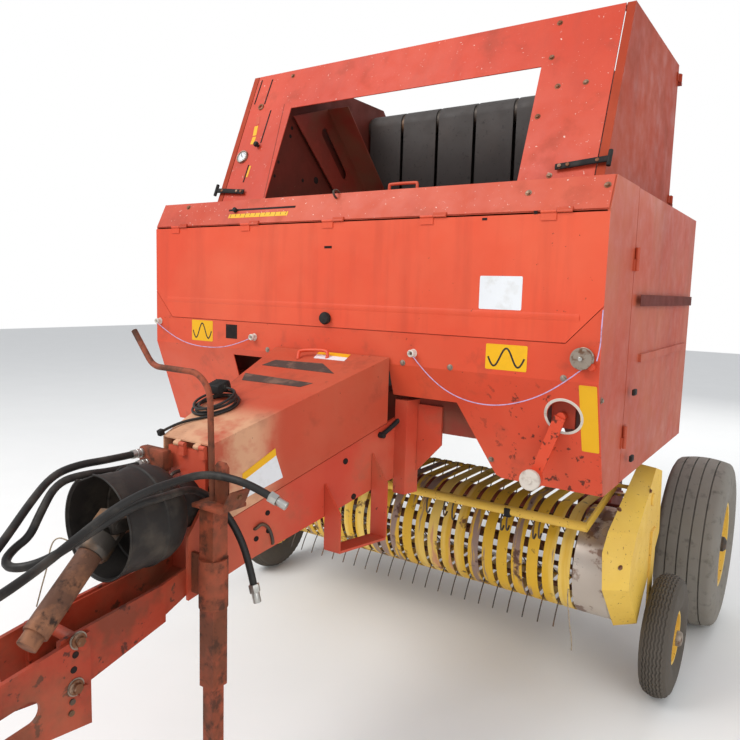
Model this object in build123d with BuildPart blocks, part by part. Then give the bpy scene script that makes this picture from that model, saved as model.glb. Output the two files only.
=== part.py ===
from build123d import *
import math
import os

# Round baler, towed: it stands on two carrying wheels, two gauge wheels and its jack.
# Millimetres. +X is the machine's left, -Y runs forward to the hitch, +Z is up.
# The origin is on the ground, midway between hitch tip and tailgate, on the centre line.
# A distance called y is measured behind the front panel, so it is negative on the tongue.

# Overall sizes
tongue_reach = 1700.0
body_reach = 2255.0
front_y = (tongue_reach - body_reach) / 2
sheet = 4.0
seat = 0.3
running = 6.0

# Bale chamber and its side walls
chamber_half = 595.0
wall_t = 6.0
wall_out = chamber_half + wall_t
wall_end_y = 1270.0

# Twine box and its cover
body_half = 925.0
box_depth = 238.0
box_foot_z = 1390.0
box_top_z = 1855.0
box_lip_y = 46.0
groove_z = 1761.0
cover_top_z = 1752.0
cover_foot_z = 1394.0
cover_cut_z = 1500.0
cover_cut_x = body_half - 99.0
hinge_y = -3.0
hinge_z = 1757.0
hinge_r = 4.0
hanger_y = 66.0
cover_pin_r = 2.0
cover_hinges = (-780.0, -390.0, 0.0, 390.0, 780.0)
cover_hinge_length = 90.0

# Apron under the twine box
seam_z = 1286.0
apron_foot_y = 121.0
apron_foot_z = 940.0
gap_left_x = -480.0
gap_left_z = 1262.0
gap_step_x = 242.0
gap_right_z = 1180.0
gap_right_x = 479.0
gap_foot_x = 588.0
lever_hole_x = body_half - 103.0
lever_hole_z = 1175.0
lever_hole_r = 50.0

# Side panels and doors
post_depth = 300.0
door_gap = 5.0
door_end_y = 1307.0
door_rim = 22.0
rib_z = 1329.0
rib_out = 8.0
door_pin_x = body_half + 7.5
door_pin_r = 3.5
knuckle_r = 7.0
door_hinge_zs = (1090.0, 1640.0)
knuckle_length = 70.0

# Sloped upper face with its window, and the upper side shields
face_foot_y = 239.0
face_top_y = 481.0
face_top_z = 2467.0
face_half = body_half - 125.0
window_half = face_half - 247.0
window_foot_z = 1878.0
window_top_z = 2288.0
face_flange = 60.0
shield_half = face_half + 31.0
shield_end_y = 1202.0
shield_strip = 27.0

# Belts and rollers
belt_count = 6
belt_width = 178.0
belt_pitch = 195.0
belt_t = 6.0
roller_r = 54.0
front_belt_y = 1050.0
front_roller_y = front_belt_y + belt_t + roller_r
front_roller_zs = (face_top_z - 127.0, 1000.0)

# Wheels
wheel_r = 390.5
wheel_width = 340.0
wheel_x = 1045.0
wheel_y = 1608.0
rim_r = 190.0
spindle_r = 30.0
gauge_r = 232.5
gauge_width = 110.0
gauge_y = 849.0
gauge_rim_r = 102.0
gauge_pin_r = 12.5
gauge_gap = 8.0

# Tailgate
gate_x = wall_out + running
gate_t = 6.0
gate_out = gate_x + gate_t
gate_hinge_y = 1240.0
gate_hinge_z = face_top_z - 137.0
gate_pin_r = 16.0
gate_front_y = 1290.0

# Tailgate cylinders
ram_x = 662.0
ram_foot_y = 1240.0
ram_foot_z = 1130.0
ram_eye_y = gate_hinge_y + 330.0
ram_eye_z = gate_hinge_z - 330.0
ram_r = 35.0
rod_r = 22.0
ram_pin_r = 16.0
ram_eye_r = 30.0
ram_eye_half = 23.0
ram_barrel = 660.0
rod_start = 130.0

# Tongue
tongue_half = 250.0
tongue_taper = 0.24
tongue_slope = 0.325
cover_rear_z = 1310.0
cover_front_y = -640.0
skirt_rear_z = 1093.0
skirt_slope = 0.355
plate_t = 10.0
beam_front_y = -1065.0
hitch_rear_y = -1000.0
hitch_front_y = -1500.0
hitch_z = 610.0
hitch_pin_r = 17.0
hitch_pin_y = -1650.0
bolt_zs = (707.0, 594.0)

# Jack beside the tongue
jack_x = 172.0
jack_y = -700.0
jack_tube = 50.0
jack_leg = 38.0
jack_wall = 5.5
jack_top_z = 968.0
jack_foot_z = 480.0
sleeve_r = 38.0
sleeve_zs = (698.0, 829.0)
pad_half = 75.0

# Power take-off
shaft_z = 930.0
bell_r = 130.0
bell_y = (-720.0, -920.0)

# Pickup
reel_y = 720.0
reel_z = 520.0
band_r = 205.0
band_t = 3.0
band_pitch = 61.2
band_width = 43.0
band_count = 24
bar_ring_r = 140.0
bar_r = 12.0
bar_count = 4
tine_tip_r = 298.0
tine_r = 3.0
pickup_half = 862.0
guard_depth = 72.0
arm_t = 8.0
pivot_y = 1030.0
pivot_z = 640.0
pivot_r = 16.0
windguard_y = 440.0
windguard_z = 730.0
windguard_pivot_y = 800.0
windguard_pivot_z = 800.0
windguard_half = pickup_half - 62.0
windguard_r = 17.0


def side_plane(x):
    """A plane across the machine: its points are (distance behind the front panel, height)."""
    return Plane(origin=(x, front_y, 0), x_dir=(0, 1, 0), z_dir=(1, 0, 0))


def front_plane(y):
    """A plane that faces forward: its points are (sideways, height)."""
    return Plane(origin=(0, front_y + y, 0), x_dir=(1, 0, 0), z_dir=(0, -1, 0))


def level_plane(z):
    """A level plane: its points are (sideways, distance behind the front panel)."""
    return Plane(origin=(0, front_y, z), x_dir=(1, 0, 0), z_dir=(0, 0, 1))


def outline(plane, points):
    with BuildSketch(plane) as drawn:
        with BuildLine():
            Polyline(*points, close=True)
        make_face()
    return drawn.sketch


def disc(plane, at, radius, bore=0.0):
    with BuildSketch(plane) as drawn:
        with Locations(at):
            Circle(radius)
            if bore:
                Circle(bore, mode=Mode.SUBTRACT)
    return drawn.sketch


def save(part, name):
    part.label = name
    export_step(part, "parts/" + name + ".step")


os.makedirs("parts", exist_ok=True)
sides = ((1, "left"), (-1, "right"))

# Chamber side walls
face_lean = math.atan2(face_top_y - face_foot_y, face_top_z - box_top_z)
wall_inset = (sheet + seat) / math.cos(face_lean)
wall_top_z = face_top_z - sheet - 8.0
wall_points = [
    (135, 1060),
    (135, box_foot_z - seat),
    (box_depth + seat, box_foot_z - seat),
    (box_depth + seat, box_top_z - 2),
    (face_foot_y + wall_inset, box_top_z - 2),
    (face_top_y + wall_inset - 8 * math.tan(face_lean), wall_top_z),
    (1190, wall_top_z),
    (wall_end_y, wall_top_z - 80),
    (wall_end_y, 800),
    (wheel_y + 140, 720),
    (wheel_y + 140, 500),
    (wheel_y, 330),
    (1300, 420),
    (1080, 560),
    (1011, 598),
    (1003, 630),
    (1003, 672),
    (1045, 690),
    (1045, 765),
    (900, 860),
    (700, 1060),
]
with BuildPart() as side_walls:
    for side, _ in sides:
        extrude(outline(side_plane(side * chamber_half), wall_points), amount=side * wall_t)
        gate_pin = disc(side_plane(side * wall_out), (gate_hinge_y, gate_hinge_z), gate_pin_r - seat)
        extrude(gate_pin, amount=side * (running + gate_t + 6))
        ram_pin = disc(side_plane(side * wall_out), (ram_foot_y, ram_foot_z), ram_pin_r - seat)
        extrude(ram_pin, amount=side * (ram_x + ram_eye_half + 4 - wall_out))
        lift_pin = disc(side_plane(side * wall_out), (pivot_y, pivot_z), pivot_r - seat)
        extrude(lift_pin, amount=side * (pickup_half + 6 - wall_out))
        collar = disc(side_plane(side * wall_out), (pivot_y, pivot_z), pivot_r + 12)
        extrude(collar, amount=side * 10)
save(side_walls.part, "side_walls")

# Cross members between the walls, and the brackets that carry the shields
beam_y = (96.0, 216.0)
beam_z = (1060.0, 1180.0)
upper_tubes = ((620.0, 57.0, 60.0), (1230.0, 177.0, 40.0))
bracket_t = 12.0
bracket_zs = (box_top_z + 50.0, face_top_z - 77.0)
shield_pin_x = shield_half + 4.0
shield_pin_y = shield_end_y + 10.0
shield_pin_r = 5.0
shield_knuckle = 30.0
inside = chamber_half - seat
with BuildPart() as cross_members:
    with BuildSketch(side_plane(-inside)):
        with Locations(((beam_y[0] + beam_y[1]) / 2, (beam_z[0] + beam_z[1]) / 2)):
            Rectangle(beam_y[1] - beam_y[0], beam_z[1] - beam_z[0])
        for y, drop, size in upper_tubes:
            with Locations((y, face_top_z - drop)):
                Rectangle(size, size)
    extrude(amount=2 * inside)
    for side, _ in sides:
        for z in bracket_zs:
            plate = [
                (side * (wall_out + seat), shield_end_y - 40),
                (side * (shield_half - sheet - seat), shield_end_y - 40),
                (side * (shield_half - sheet - seat), shield_end_y + 4),
                (side * (shield_pin_x + 8), shield_end_y + 4),
                (side * (shield_pin_x + 8), shield_end_y + 20),
                (side * (shield_pin_x - 90), shield_end_y + 20),
                (side * (shield_pin_x - 110), shield_end_y),
                (side * (wall_out + seat), shield_end_y),
            ]
            extrude(outline(level_plane(z), plate), amount=bracket_t)
            pin = disc(level_plane(z + bracket_t), (side * shield_pin_x, shield_pin_y), shield_pin_r)
            extrude(pin, amount=shield_knuckle + 4)
save(cross_members.part, "cross_members")

# Sloped upper face
face_plane = Plane(
    origin=(0, front_y + face_foot_y, box_top_z),
    x_dir=(1, 0, 0),
    z_dir=(0, -math.cos(face_lean), math.sin(face_lean)),
)
face_length = math.hypot(face_top_y - face_foot_y, face_top_z - box_top_z)
window_foot = (window_foot_z - box_top_z) / math.cos(face_lean)
window_top = (window_top_z - box_top_z) / math.cos(face_lean)
with BuildPart() as upper_face:
    with BuildSketch(face_plane):
        with Locations((0, face_length / 2)):
            Rectangle(2 * face_half, face_length)
        with Locations((0, (window_foot + window_top) / 2)):
            Rectangle(2 * window_half, window_top - window_foot, mode=Mode.SUBTRACT)
    extrude(amount=-sheet)
    flange_points = [
        (face_top_y + 1, face_top_z),
        (face_top_y + face_flange, face_top_z),
        (face_top_y + face_flange, face_top_z - sheet),
        (face_top_y + 1, face_top_z - sheet),
    ]
    extrude(outline(side_plane(-face_half), flange_points), amount=2 * face_half)
save(upper_face.part, "upper_face")

# Twine box, open to the front behind its cover
box_half = body_half - sheet
box_front_y = sheet + seat
box_points = [
    (box_front_y, box_foot_z),
    (box_depth, box_foot_z),
    (box_depth, box_top_z),
    (box_lip_y, box_top_z),
    (0, groove_z),
    (box_front_y, groove_z),
]
hollow_points = [
    (-10, box_foot_z + sheet),
    (box_depth - sheet, box_foot_z + sheet),
    (box_depth - sheet, box_top_z - sheet),
    (box_lip_y + 2.5, box_top_z - sheet),
    (8.5, groove_z + 9),
    (8.5, groove_z - sheet),
    (-10, groove_z - sheet),
]
with BuildPart() as twine_box:
    extrude(outline(side_plane(-box_half), box_points), amount=2 * box_half)
    hollow = outline(side_plane(sheet - box_half), hollow_points)
    extrude(hollow, amount=2 * (box_half - sheet), mode=Mode.SUBTRACT)
    for x in cover_hinges:
        fixed_end = x + cover_hinge_length / 2
        with BuildSketch(side_plane(x + 1)):
            with Locations((hinge_y, hinge_z)):
                Circle(hinge_r)
            with Locations((hinge_y + 3, hinge_z + 6)):
                Rectangle(2 * hinge_r, 10)
        extrude(amount=fixed_end - x - 1)
        pin = disc(side_plane(x - cover_hinge_length / 2), (hinge_y, hinge_z), cover_pin_r)
        extrude(pin, amount=cover_hinge_length)
    with BuildSketch(front_plane(hanger_y + plate_t)):
        with Locations((lever_hole_x - 10, (lever_hole_z - 35 + box_foot_z) / 2 + 0.5)):
            Rectangle(70, box_foot_z + 1 - lever_hole_z + 35)
    extrude(amount=plate_t)
save(twine_box.part, "twine_box")

# Front cover, hinged along the groove
cover_points = [
    (-cover_cut_x, cover_foot_z),
    (cover_cut_x, cover_foot_z),
    (body_half, cover_cut_z),
    (body_half, cover_top_z),
    (-body_half, cover_top_z),
    (-body_half, cover_cut_z),
]
with BuildPart() as front_cover:
    extrude(outline(front_plane(sheet), cover_points), amount=sheet)
    for x in cover_hinges:
        with BuildSketch(side_plane(x - cover_hinge_length / 2)):
            with Locations((hinge_y, hinge_z)):
                Circle(hinge_r)
            with Locations((hinge_y / 2, hinge_z - 12)):
                Rectangle(-hinge_y, 24)
        extrude(amount=cover_hinge_length / 2)
        bore = disc(side_plane(x - cover_hinge_length / 2), (hinge_y, hinge_z), cover_pin_r + seat)
        extrude(bore, amount=cover_hinge_length / 2, mode=Mode.SUBTRACT)
save(front_cover.part, "front_cover")

# Apron: upright under the cover, then leaning back to its foot
ear_gap = 3.0
apron_run = [
    (0, cover_cut_z - ear_gap),
    (0, seam_z),
    (apron_foot_y, apron_foot_z),
    (apron_foot_y + sheet, apron_foot_z),
    (sheet, seam_z),
    (sheet, cover_cut_z - ear_gap),
]
apron_front = [
    (-body_half, apron_foot_z - 5),
    (gap_left_x, apron_foot_z - 5),
    (gap_left_x, gap_left_z),
    (gap_step_x, gap_left_z),
    (gap_step_x, gap_right_z),
    (gap_right_x, gap_right_z),
    (gap_foot_x, apron_foot_z + 10),
    (gap_foot_x + 33, apron_foot_z - 5),
    (body_half, apron_foot_z - 5),
    (body_half, cover_cut_z - ear_gap),
    (cover_cut_x, cover_foot_z - ear_gap),
    (-cover_cut_x, cover_foot_z - ear_gap),
    (-body_half, cover_cut_z - ear_gap),
]
with BuildPart() as apron:
    extrude(outline(side_plane(-body_half), apron_run), amount=2 * body_half)
    extrude(outline(front_plane(200), apron_front), amount=300, mode=Mode.INTERSECT)
    lever_hole = disc(front_plane(200), (lever_hole_x, lever_hole_z), lever_hole_r)
    extrude(lever_hole, amount=300, mode=Mode.SUBTRACT)
save(apron.part, "apron")

# Fixed side panels behind the apron's ends
post_points = [
    (sheet + seat, seam_z),
    (sheet + seat, groove_z),
    (box_lip_y + sheet, box_top_z),
    (post_depth, box_top_z),
    (post_depth, apron_foot_z),
    (apron_foot_y + sheet + 1, apron_foot_z),
]
with BuildPart() as front_corners:
    for side, _ in sides:
        extrude(outline(side_plane(side * body_half), post_points), amount=-side * sheet)
        for z in door_hinge_zs:
            knuckle = disc(level_plane(z), (side * door_pin_x, post_depth + 2.5), knuckle_r)
            extrude(knuckle, amount=-knuckle_length / 2)
            pin = disc(level_plane(z), (side * door_pin_x, post_depth + 2.5), door_pin_r)
            extrude(pin, amount=knuckle_length / 2)
            with BuildSketch(level_plane(z)):
                with Locations((side * (body_half + 2), post_depth - 8)):
                    Rectangle(4, 16)
            extrude(amount=-knuckle_length / 2)
save(front_corners.part, "front_corners")

# Side doors, shallow trays with a rib, hinged at their front edge
door_y = post_depth + door_gap
door_z = (apron_foot_z + 2, box_top_z - 2)
for side, name in sides:
    with BuildPart() as side_door:
        door_points = [
            (door_y, door_z[0]),
            (door_end_y, door_z[0]),
            (door_end_y, door_z[1]),
            (door_y, door_z[1]),
        ]
        extrude(outline(side_plane(side * body_half), door_points), amount=-side * door_rim)
        with BuildSketch(side_plane(side * (body_half - sheet))):
            with Locations(((door_y + door_end_y) / 2, (door_z[0] + door_z[1]) / 2)):
                Rectangle(door_end_y - door_y - 2 * sheet, door_z[1] - door_z[0] - 2 * sheet)
        extrude(amount=-side * door_rim, mode=Mode.SUBTRACT)
        with BuildSketch(side_plane(side * body_half)):
            with Locations(((door_y + door_end_y) / 2 + 40, rib_z)):
                Rectangle(door_end_y - door_y - 200, 26)
        extrude(amount=side * rib_out)
        for z in door_hinge_zs:
            barrel = disc(level_plane(z + 1), (side * door_pin_x, post_depth + 2.5), knuckle_r)
            extrude(barrel, amount=knuckle_length / 2)
            with BuildSketch(level_plane(z + 1)):
                with Locations((side * (body_half + 2), post_depth + 19)):
                    Rectangle(4, 24)
            extrude(amount=knuckle_length / 2)
            pin_way = disc(level_plane(z + 1), (side * door_pin_x, post_depth + 2.5), door_pin_r + seat)
            extrude(pin_way, amount=knuckle_length / 2, mode=Mode.SUBTRACT)
    save(side_door.part, "side_door_" + name)

# Upper side shields, hinged at their rear edge on the brackets
shield_foot_z = box_top_z + 3
strip_lean = math.tan(face_lean)
for side, name in sides:
    with BuildPart() as upper_shield:
        shield_points = [
            (face_foot_y + 3 * strip_lean, shield_foot_z),
            (face_top_y, face_top_z),
            (shield_end_y, face_top_z),
            (shield_end_y, shield_foot_z),
        ]
        extrude(outline(side_plane(side * shield_half), shield_points), amount=-side * sheet)
        strip_points = [
            (face_foot_y + 3 * strip_lean, shield_foot_z),
            (face_top_y, face_top_z),
            (face_top_y + wall_inset, face_top_z),
            (face_foot_y + 3 * strip_lean + wall_inset, shield_foot_z),
        ]
        extrude(outline(side_plane(side * shield_half), strip_points), amount=-side * shield_strip)
        for z in bracket_zs:
            foot = z + bracket_t + 1
            barrel = disc(level_plane(foot), (side * shield_pin_x, shield_pin_y), shield_pin_r + 4)
            extrude(barrel, amount=shield_knuckle)
            with BuildSketch(level_plane(foot)):
                with Locations((side * (shield_half + 2), shield_end_y - 10)):
                    Rectangle(4, 36)
            extrude(amount=shield_knuckle)
            pin_way = disc(level_plane(foot), (side * shield_pin_x, shield_pin_y), shield_pin_r + seat)
            extrude(pin_way, amount=shield_knuckle, mode=Mode.SUBTRACT)
    save(upper_shield.part, "upper_shield_" + name)

# Rollers and belts at the front of the chamber
belt_xs = [(i - (belt_count - 1) / 2) * belt_pitch for i in range(belt_count)]
with BuildPart() as front_rollers:
    for z in front_roller_zs:
        roller = disc(side_plane(-inside), (front_roller_y, z), roller_r)
        extrude(roller, amount=2 * inside)
save(front_rollers.part, "front_rollers")

roller_span = front_roller_zs[0] - front_roller_zs[1]
with BuildPart() as front_belts:
    for x in belt_xs:
        with BuildSketch(side_plane(x - belt_width / 2)):
            for radius, mode in ((roller_r + belt_t, Mode.ADD), (roller_r + seat, Mode.SUBTRACT)):
                with Locations((front_roller_y, sum(front_roller_zs) / 2)):
                    SlotCenterToCenter(roller_span, 2 * radius, rotation=90, mode=mode)
        extrude(amount=belt_width)
save(front_belts.part, "front_belts")

# Belt take-up arms: an angle beside each wall with a long slot, on a cross tube
arm_top_z = face_top_z - 119.0
arm_points = [
    (450, arm_top_z - 83),
    (690, arm_top_z),
    (1010, arm_top_z - 326),
    (860, arm_top_z - 388),
    (770, arm_top_z - 378),
]
arm_inner = chamber_half - 20
flange_depth = 120.0
with BuildPart() as take_up_arms:
    for side, _ in sides:
        extrude(outline(side_plane(side * arm_inner), arm_points), amount=-side * 6)
        with BuildSketch(side_plane(side * arm_inner)):
            with Locations((745, arm_top_z - 193)):
                SlotCenterToCenter(220, 46, rotation=-46)
        extrude(amount=-side * 6, mode=Mode.SUBTRACT)
        flange = [arm_points[1], arm_points[2], (1006, arm_top_z - 330), (686, arm_top_z - 4)]
        extrude(outline(side_plane(side * arm_inner), flange), amount=-side * flange_depth)
        pivot = disc(side_plane(side * arm_inner), (860, arm_top_z - 348), 24)
        extrude(pivot, amount=side * (20 - seat))
save(take_up_arms.part, "take_up_arms")

# Axle: cross tube, bolted plates and spindles
plate_out = wall_out + seat + 14
with BuildPart() as axle:
    extrude(disc(side_plane(-inside), (wheel_y, wheel_r), 50, 42), amount=2 * inside)
    for side, _ in sides:
        with BuildSketch(side_plane(side * (wall_out + seat))):
            with Locations((wheel_y, wheel_r + 40)):
                RectangleRounded(240, 200, 20)
        extrude(amount=side * 14)
        stub = disc(side_plane(side * plate_out), (wheel_y, wheel_r), 45)
        extrude(stub, amount=side * (wheel_x - 100 - plate_out))
        spindle = disc(side_plane(side * (wheel_x - 100)), (wheel_y, wheel_r), spindle_r)
        extrude(spindle, amount=side * 150)
save(axle.part, "axle")

# Carrying wheels: ribbed flotation tyres on dished rims
tyre_profile = [
    (-0.41, rim_r + seat),
    (-0.5, rim_r + 85),
    (-0.5, wheel_r - 70),
    (-0.38, wheel_r),
    (0.38, wheel_r),
    (0.5, wheel_r - 70),
    (0.5, rim_r + 85),
    (0.41, rim_r + seat),
]
rim_half = 0.43 * wheel_width
for side, name in sides:
    spin = Axis((side * wheel_x, front_y + wheel_y, wheel_r), (1, 0, 0))
    section = Plane(origin=(side * wheel_x, front_y + wheel_y, wheel_r), x_dir=(1, 0, 0), z_dir=(0, -1, 0))
    with BuildPart() as tyre:
        shape = [(across * wheel_width, radius) for across, radius in tyre_profile]
        with BuildSketch(section):
            with BuildLine():
                Polyline(*shape, close=True)
            make_face()
        revolve(axis=spin)
    save(tyre.part, "tyre_" + name)

    rim_points = [(-rim_half, rim_r), (rim_half, rim_r), (rim_half, rim_r - 14), (-rim_half, rim_r - 14)]
    disc_points = [
        (20, rim_r - 10),
        (45, 85),
        (45, spindle_r + 1),
        (33, spindle_r + 1),
        (33, 80),
        (8, rim_r - 10),
    ]
    hub_points = [(-80, spindle_r + seat), (60, spindle_r + seat), (60, 55), (-80, 55)]
    with BuildPart() as rim:
        with BuildSketch(section):
            for points in (rim_points, disc_points, hub_points):
                with BuildLine():
                    Polyline(*[(side * across, radius) for across, radius in points], close=True)
                make_face()
        revolve(axis=spin)
    save(rim.part, "rim_" + name)

# Gauge wheels behind the pickup, outboard of the guard and its arm
gauge_x = pickup_half + guard_depth + arm_t + gauge_gap + gauge_width / 2 + 2 * seat
gauge_profile = [
    (-0.36, gauge_rim_r + seat),
    (-0.5, gauge_rim_r + 45),
    (-0.5, gauge_r - 35),
    (-0.3, gauge_r),
    (0.3, gauge_r),
    (0.5, gauge_r - 35),
    (0.5, gauge_rim_r + 45),
    (0.36, gauge_rim_r + seat),
]
for side, name in sides:
    spin = Axis((side * gauge_x, front_y + gauge_y, gauge_r), (1, 0, 0))
    section = Plane(origin=(side * gauge_x, front_y + gauge_y, gauge_r), x_dir=(1, 0, 0), z_dir=(0, -1, 0))
    with BuildPart() as gauge_tyre:
        shape = [(across * gauge_width, radius) for across, radius in gauge_profile]
        with BuildSketch(section):
            with BuildLine():
                Polyline(*shape, close=True)
            make_face()
        revolve(axis=spin)
    save(gauge_tyre.part, "gauge_tyre_" + name)

    rim_points = [(-40, gauge_rim_r), (40, gauge_rim_r), (40, gauge_rim_r - 12), (-40, gauge_rim_r - 12)]
    hub_points = [(-38, gauge_pin_r + seat), (45, gauge_pin_r + seat), (45, 30), (-38, 30)]
    disc_points = [(12, gauge_rim_r - 6), (12, 25), (6, 25), (6, gauge_rim_r - 6)]
    with BuildPart() as gauge_rim:
        with BuildSketch(section):
            for points in (rim_points, disc_points, hub_points):
                with BuildLine():
                    Polyline(*[(side * across, radius) for across, radius in points], close=True)
                make_face()
        revolve(axis=spin)
    save(gauge_rim.part, "gauge_rim_" + name)

# Tailgate sides, outboard of the walls and hinged on their pins
gate_top_z = gate_hinge_z + 42
gate_points = [
    (1200, gate_hinge_z + 15),
    (1225, gate_top_z),
    (1700, gate_top_z),
    (1990, gate_top_z - 142),
    (2190, gate_top_z - 412),
    (body_reach, 1650),
    (body_reach, 1330),
    (2180, 1020),
    (2010, 790),
    (1860, 745),
    (gate_front_y, 850),
    (gate_front_y, gate_hinge_z - 90),
    (1210, gate_hinge_z - 40),
]
with BuildPart() as tailgate_sides:
    for side, _ in sides:
        extrude(outline(side_plane(side * gate_x), gate_points), amount=side * gate_t)
        pin_way = disc(side_plane(side * gate_x), (gate_hinge_y, gate_hinge_z), gate_pin_r)
        extrude(pin_way, amount=side * gate_t, mode=Mode.SUBTRACT)
        boss = disc(side_plane(side * gate_out), (ram_eye_y, ram_eye_z), ram_eye_r)
        extrude(boss, amount=side * (ram_x - ram_eye_half - seat - gate_out))
save(tailgate_sides.part, "tailgate_sides")

# Tailgate cross pieces: top sheet, rear upper panel and two tubes
gate_inside = gate_x - seat
top_front_y = 1400.0
sheet_top_z = gate_top_z - sheet
top_sheet = [
    (top_front_y, sheet_top_z),
    (1698, sheet_top_z),
    (1986, sheet_top_z - 140),
    (2184, sheet_top_z - 408),
    (2178, sheet_top_z - 411),
    (1982, sheet_top_z - 144),
    (1697, sheet_top_z - sheet),
    (top_front_y, sheet_top_z - sheet),
]
gate_tubes = ((2215.0, 1500.0), (2120.0, 1000.0))
gate_tube_r = 24.0
with BuildPart() as tailgate_cross:
    extrude(outline(side_plane(-gate_inside), top_sheet), amount=2 * gate_inside)
    for y, z in gate_tubes:
        extrude(disc(side_plane(-gate_inside), (y, z), gate_tube_r), amount=2 * gate_inside)
save(tailgate_cross.part, "tailgate_cross")

gate_rollers = (
    (1345, gate_hinge_z - 40),
    (1700, gate_hinge_z - 40),
    (2080, gate_hinge_z - 370),
    (2130, 1350),
    (1930, 860),
    (1370, 930),
)
gate_roller_r = 40.0
with BuildPart() as rear_rollers:
    for y, z in gate_rollers:
        extrude(disc(side_plane(-gate_inside), (y, z), gate_roller_r), amount=2 * gate_inside)
save(rear_rollers.part, "rear_rollers")

with BuildPart() as rear_belts:
    for x in belt_xs:
        with BuildSketch(side_plane(x - belt_width / 2)):
            with BuildSketch(mode=Mode.PRIVATE) as rounds:
                with Locations(*gate_rollers):
                    Circle(gate_roller_r + belt_t)
            make_hull(rounds.sketch.edges())
            with BuildSketch(mode=Mode.PRIVATE) as inner_rounds:
                with Locations(*gate_rollers):
                    Circle(gate_roller_r + seat)
            make_hull(inner_rounds.sketch.edges(), mode=Mode.SUBTRACT)
        extrude(amount=belt_width)
save(rear_belts.part, "rear_belts")

# Tailgate cylinders, pinned to the walls; each rod's eye carries its pin beside the gate's boss
ram_dy = ram_eye_y - ram_foot_y
ram_dz = ram_eye_z - ram_foot_z
ram_length = math.hypot(ram_dy, ram_dz)
for side, name in sides:
    along = Plane(
        origin=(side * ram_x, front_y + ram_foot_y, ram_foot_z),
        x_dir=(1, 0, 0),
        z_dir=(0, ram_dy / ram_length, ram_dz / ram_length),
    )
    with BuildPart() as barrel:
        with BuildSketch(along.offset(10)):
            Circle(ram_r)
        extrude(amount=ram_barrel - 10)
        foot_eye = disc(side_plane(side * (ram_x - ram_eye_half)), (ram_foot_y, ram_foot_z), ram_eye_r)
        extrude(foot_eye, amount=side * 2 * ram_eye_half)
        with BuildSketch(along.offset(rod_start - 10)):
            Circle(rod_r + 1)
        extrude(amount=ram_barrel, mode=Mode.SUBTRACT)
        pin_way = disc(side_plane(side * (ram_x - 40)), (ram_foot_y, ram_foot_z), ram_pin_r)
        extrude(pin_way, amount=side * 80, mode=Mode.SUBTRACT)
    save(barrel.part, "cylinder_barrel_" + name)
    with BuildPart() as rod:
        with BuildSketch(along.offset(rod_start)):
            Circle(rod_r)
        extrude(amount=ram_length - rod_start - 20)
        eye = disc(side_plane(side * (ram_x - ram_eye_half)), (ram_eye_y, ram_eye_z), ram_eye_r)
        extrude(eye, amount=side * 2 * ram_eye_half)
        eye_pin = disc(side_plane(side * (ram_x + ram_eye_half)), (ram_eye_y, ram_eye_z), ram_pin_r)
        extrude(eye_pin, amount=side * 8)
    save(rod.part, "cylinder_rod_" + name)


def wedge(half, front, rear, foot, top):
    """A level wedge: half wide at the front panel, narrowing forward, tall enough to trim."""
    with BuildPart() as block:
        with BuildSketch(level_plane(foot)):
            with BuildLine():
                Polyline(
                    (-half - tongue_taper * rear, rear),
                    (half + tongue_taper * rear, rear),
                    (half + tongue_taper * front, front),
                    (-half - tongue_taper * front, front),
                    close=True,
                )
            make_face()
        extrude(amount=top - foot)
    return block.part


def cover_z(y):
    """Height of the tongue cover's top."""
    return cover_rear_z + tongue_slope * y


def skirt_z(y):
    """Height of the foot of the tongue cover's skirt."""
    return skirt_rear_z + skirt_slope * y


# Tongue cover: a tapering lid with side skirts, hinged at its front edge
cover_rear_y = -running
lid_pin_y = cover_front_y - 6
lid_pin_z = cover_z(cover_front_y) - 12
lid_knuckle_r = 7.0
lid_pin_r = 3.5
lid_knuckles = (-40.0, 40.0)
lid_knuckle_length = 20.0
trim_y = cover_front_y + 66
trim_z = skirt_z(cover_front_y) + 12
cover_side = [
    (cover_rear_y, cover_z(cover_rear_y)),
    (cover_rear_y, skirt_z(cover_rear_y)),
    (trim_y, skirt_z(trim_y)),
    (cover_front_y, trim_z),
    (cover_front_y, cover_z(cover_front_y)),
]
under_lid = [
    (cover_rear_y + 1, cover_z(cover_rear_y + 1) - sheet),
    (cover_rear_y + 1, 600),
    (cover_front_y - 1, 600),
    (cover_front_y - 1, cover_z(cover_front_y - 1) - sheet),
]
with BuildPart(mode=Mode.PRIVATE) as lid_core:
    add(wedge(tongue_half - sheet, cover_front_y - 1, cover_rear_y + 1, 600, 1400))
    extrude(outline(side_plane(-400), under_lid), amount=800, mode=Mode.INTERSECT)
with BuildPart() as tongue_cover:
    add(wedge(tongue_half, cover_front_y, cover_rear_y, 700, 1400))
    extrude(outline(side_plane(-400), cover_side), amount=800, mode=Mode.INTERSECT)
    add(lid_core.part, mode=Mode.SUBTRACT)
    for x in lid_knuckles:
        knuckle = disc(side_plane(x), (lid_pin_y, lid_pin_z), lid_knuckle_r)
        extrude(knuckle, amount=lid_knuckle_length)
        leaf = [
            (lid_pin_y, lid_pin_z),
            (lid_pin_y, lid_pin_z + lid_knuckle_r),
            (cover_front_y + 1, cover_z(cover_front_y + 1) - 1),
            (cover_front_y + 1, cover_z(cover_front_y + 1) - sheet),
        ]
        extrude(outline(side_plane(x), leaf), amount=lid_knuckle_length)
        pin_way = disc(side_plane(x), (lid_pin_y, lid_pin_z), lid_pin_r + seat)
        extrude(pin_way, amount=lid_knuckle_length, mode=Mode.SUBTRACT)
save(tongue_cover.part, "tongue_cover")

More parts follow.
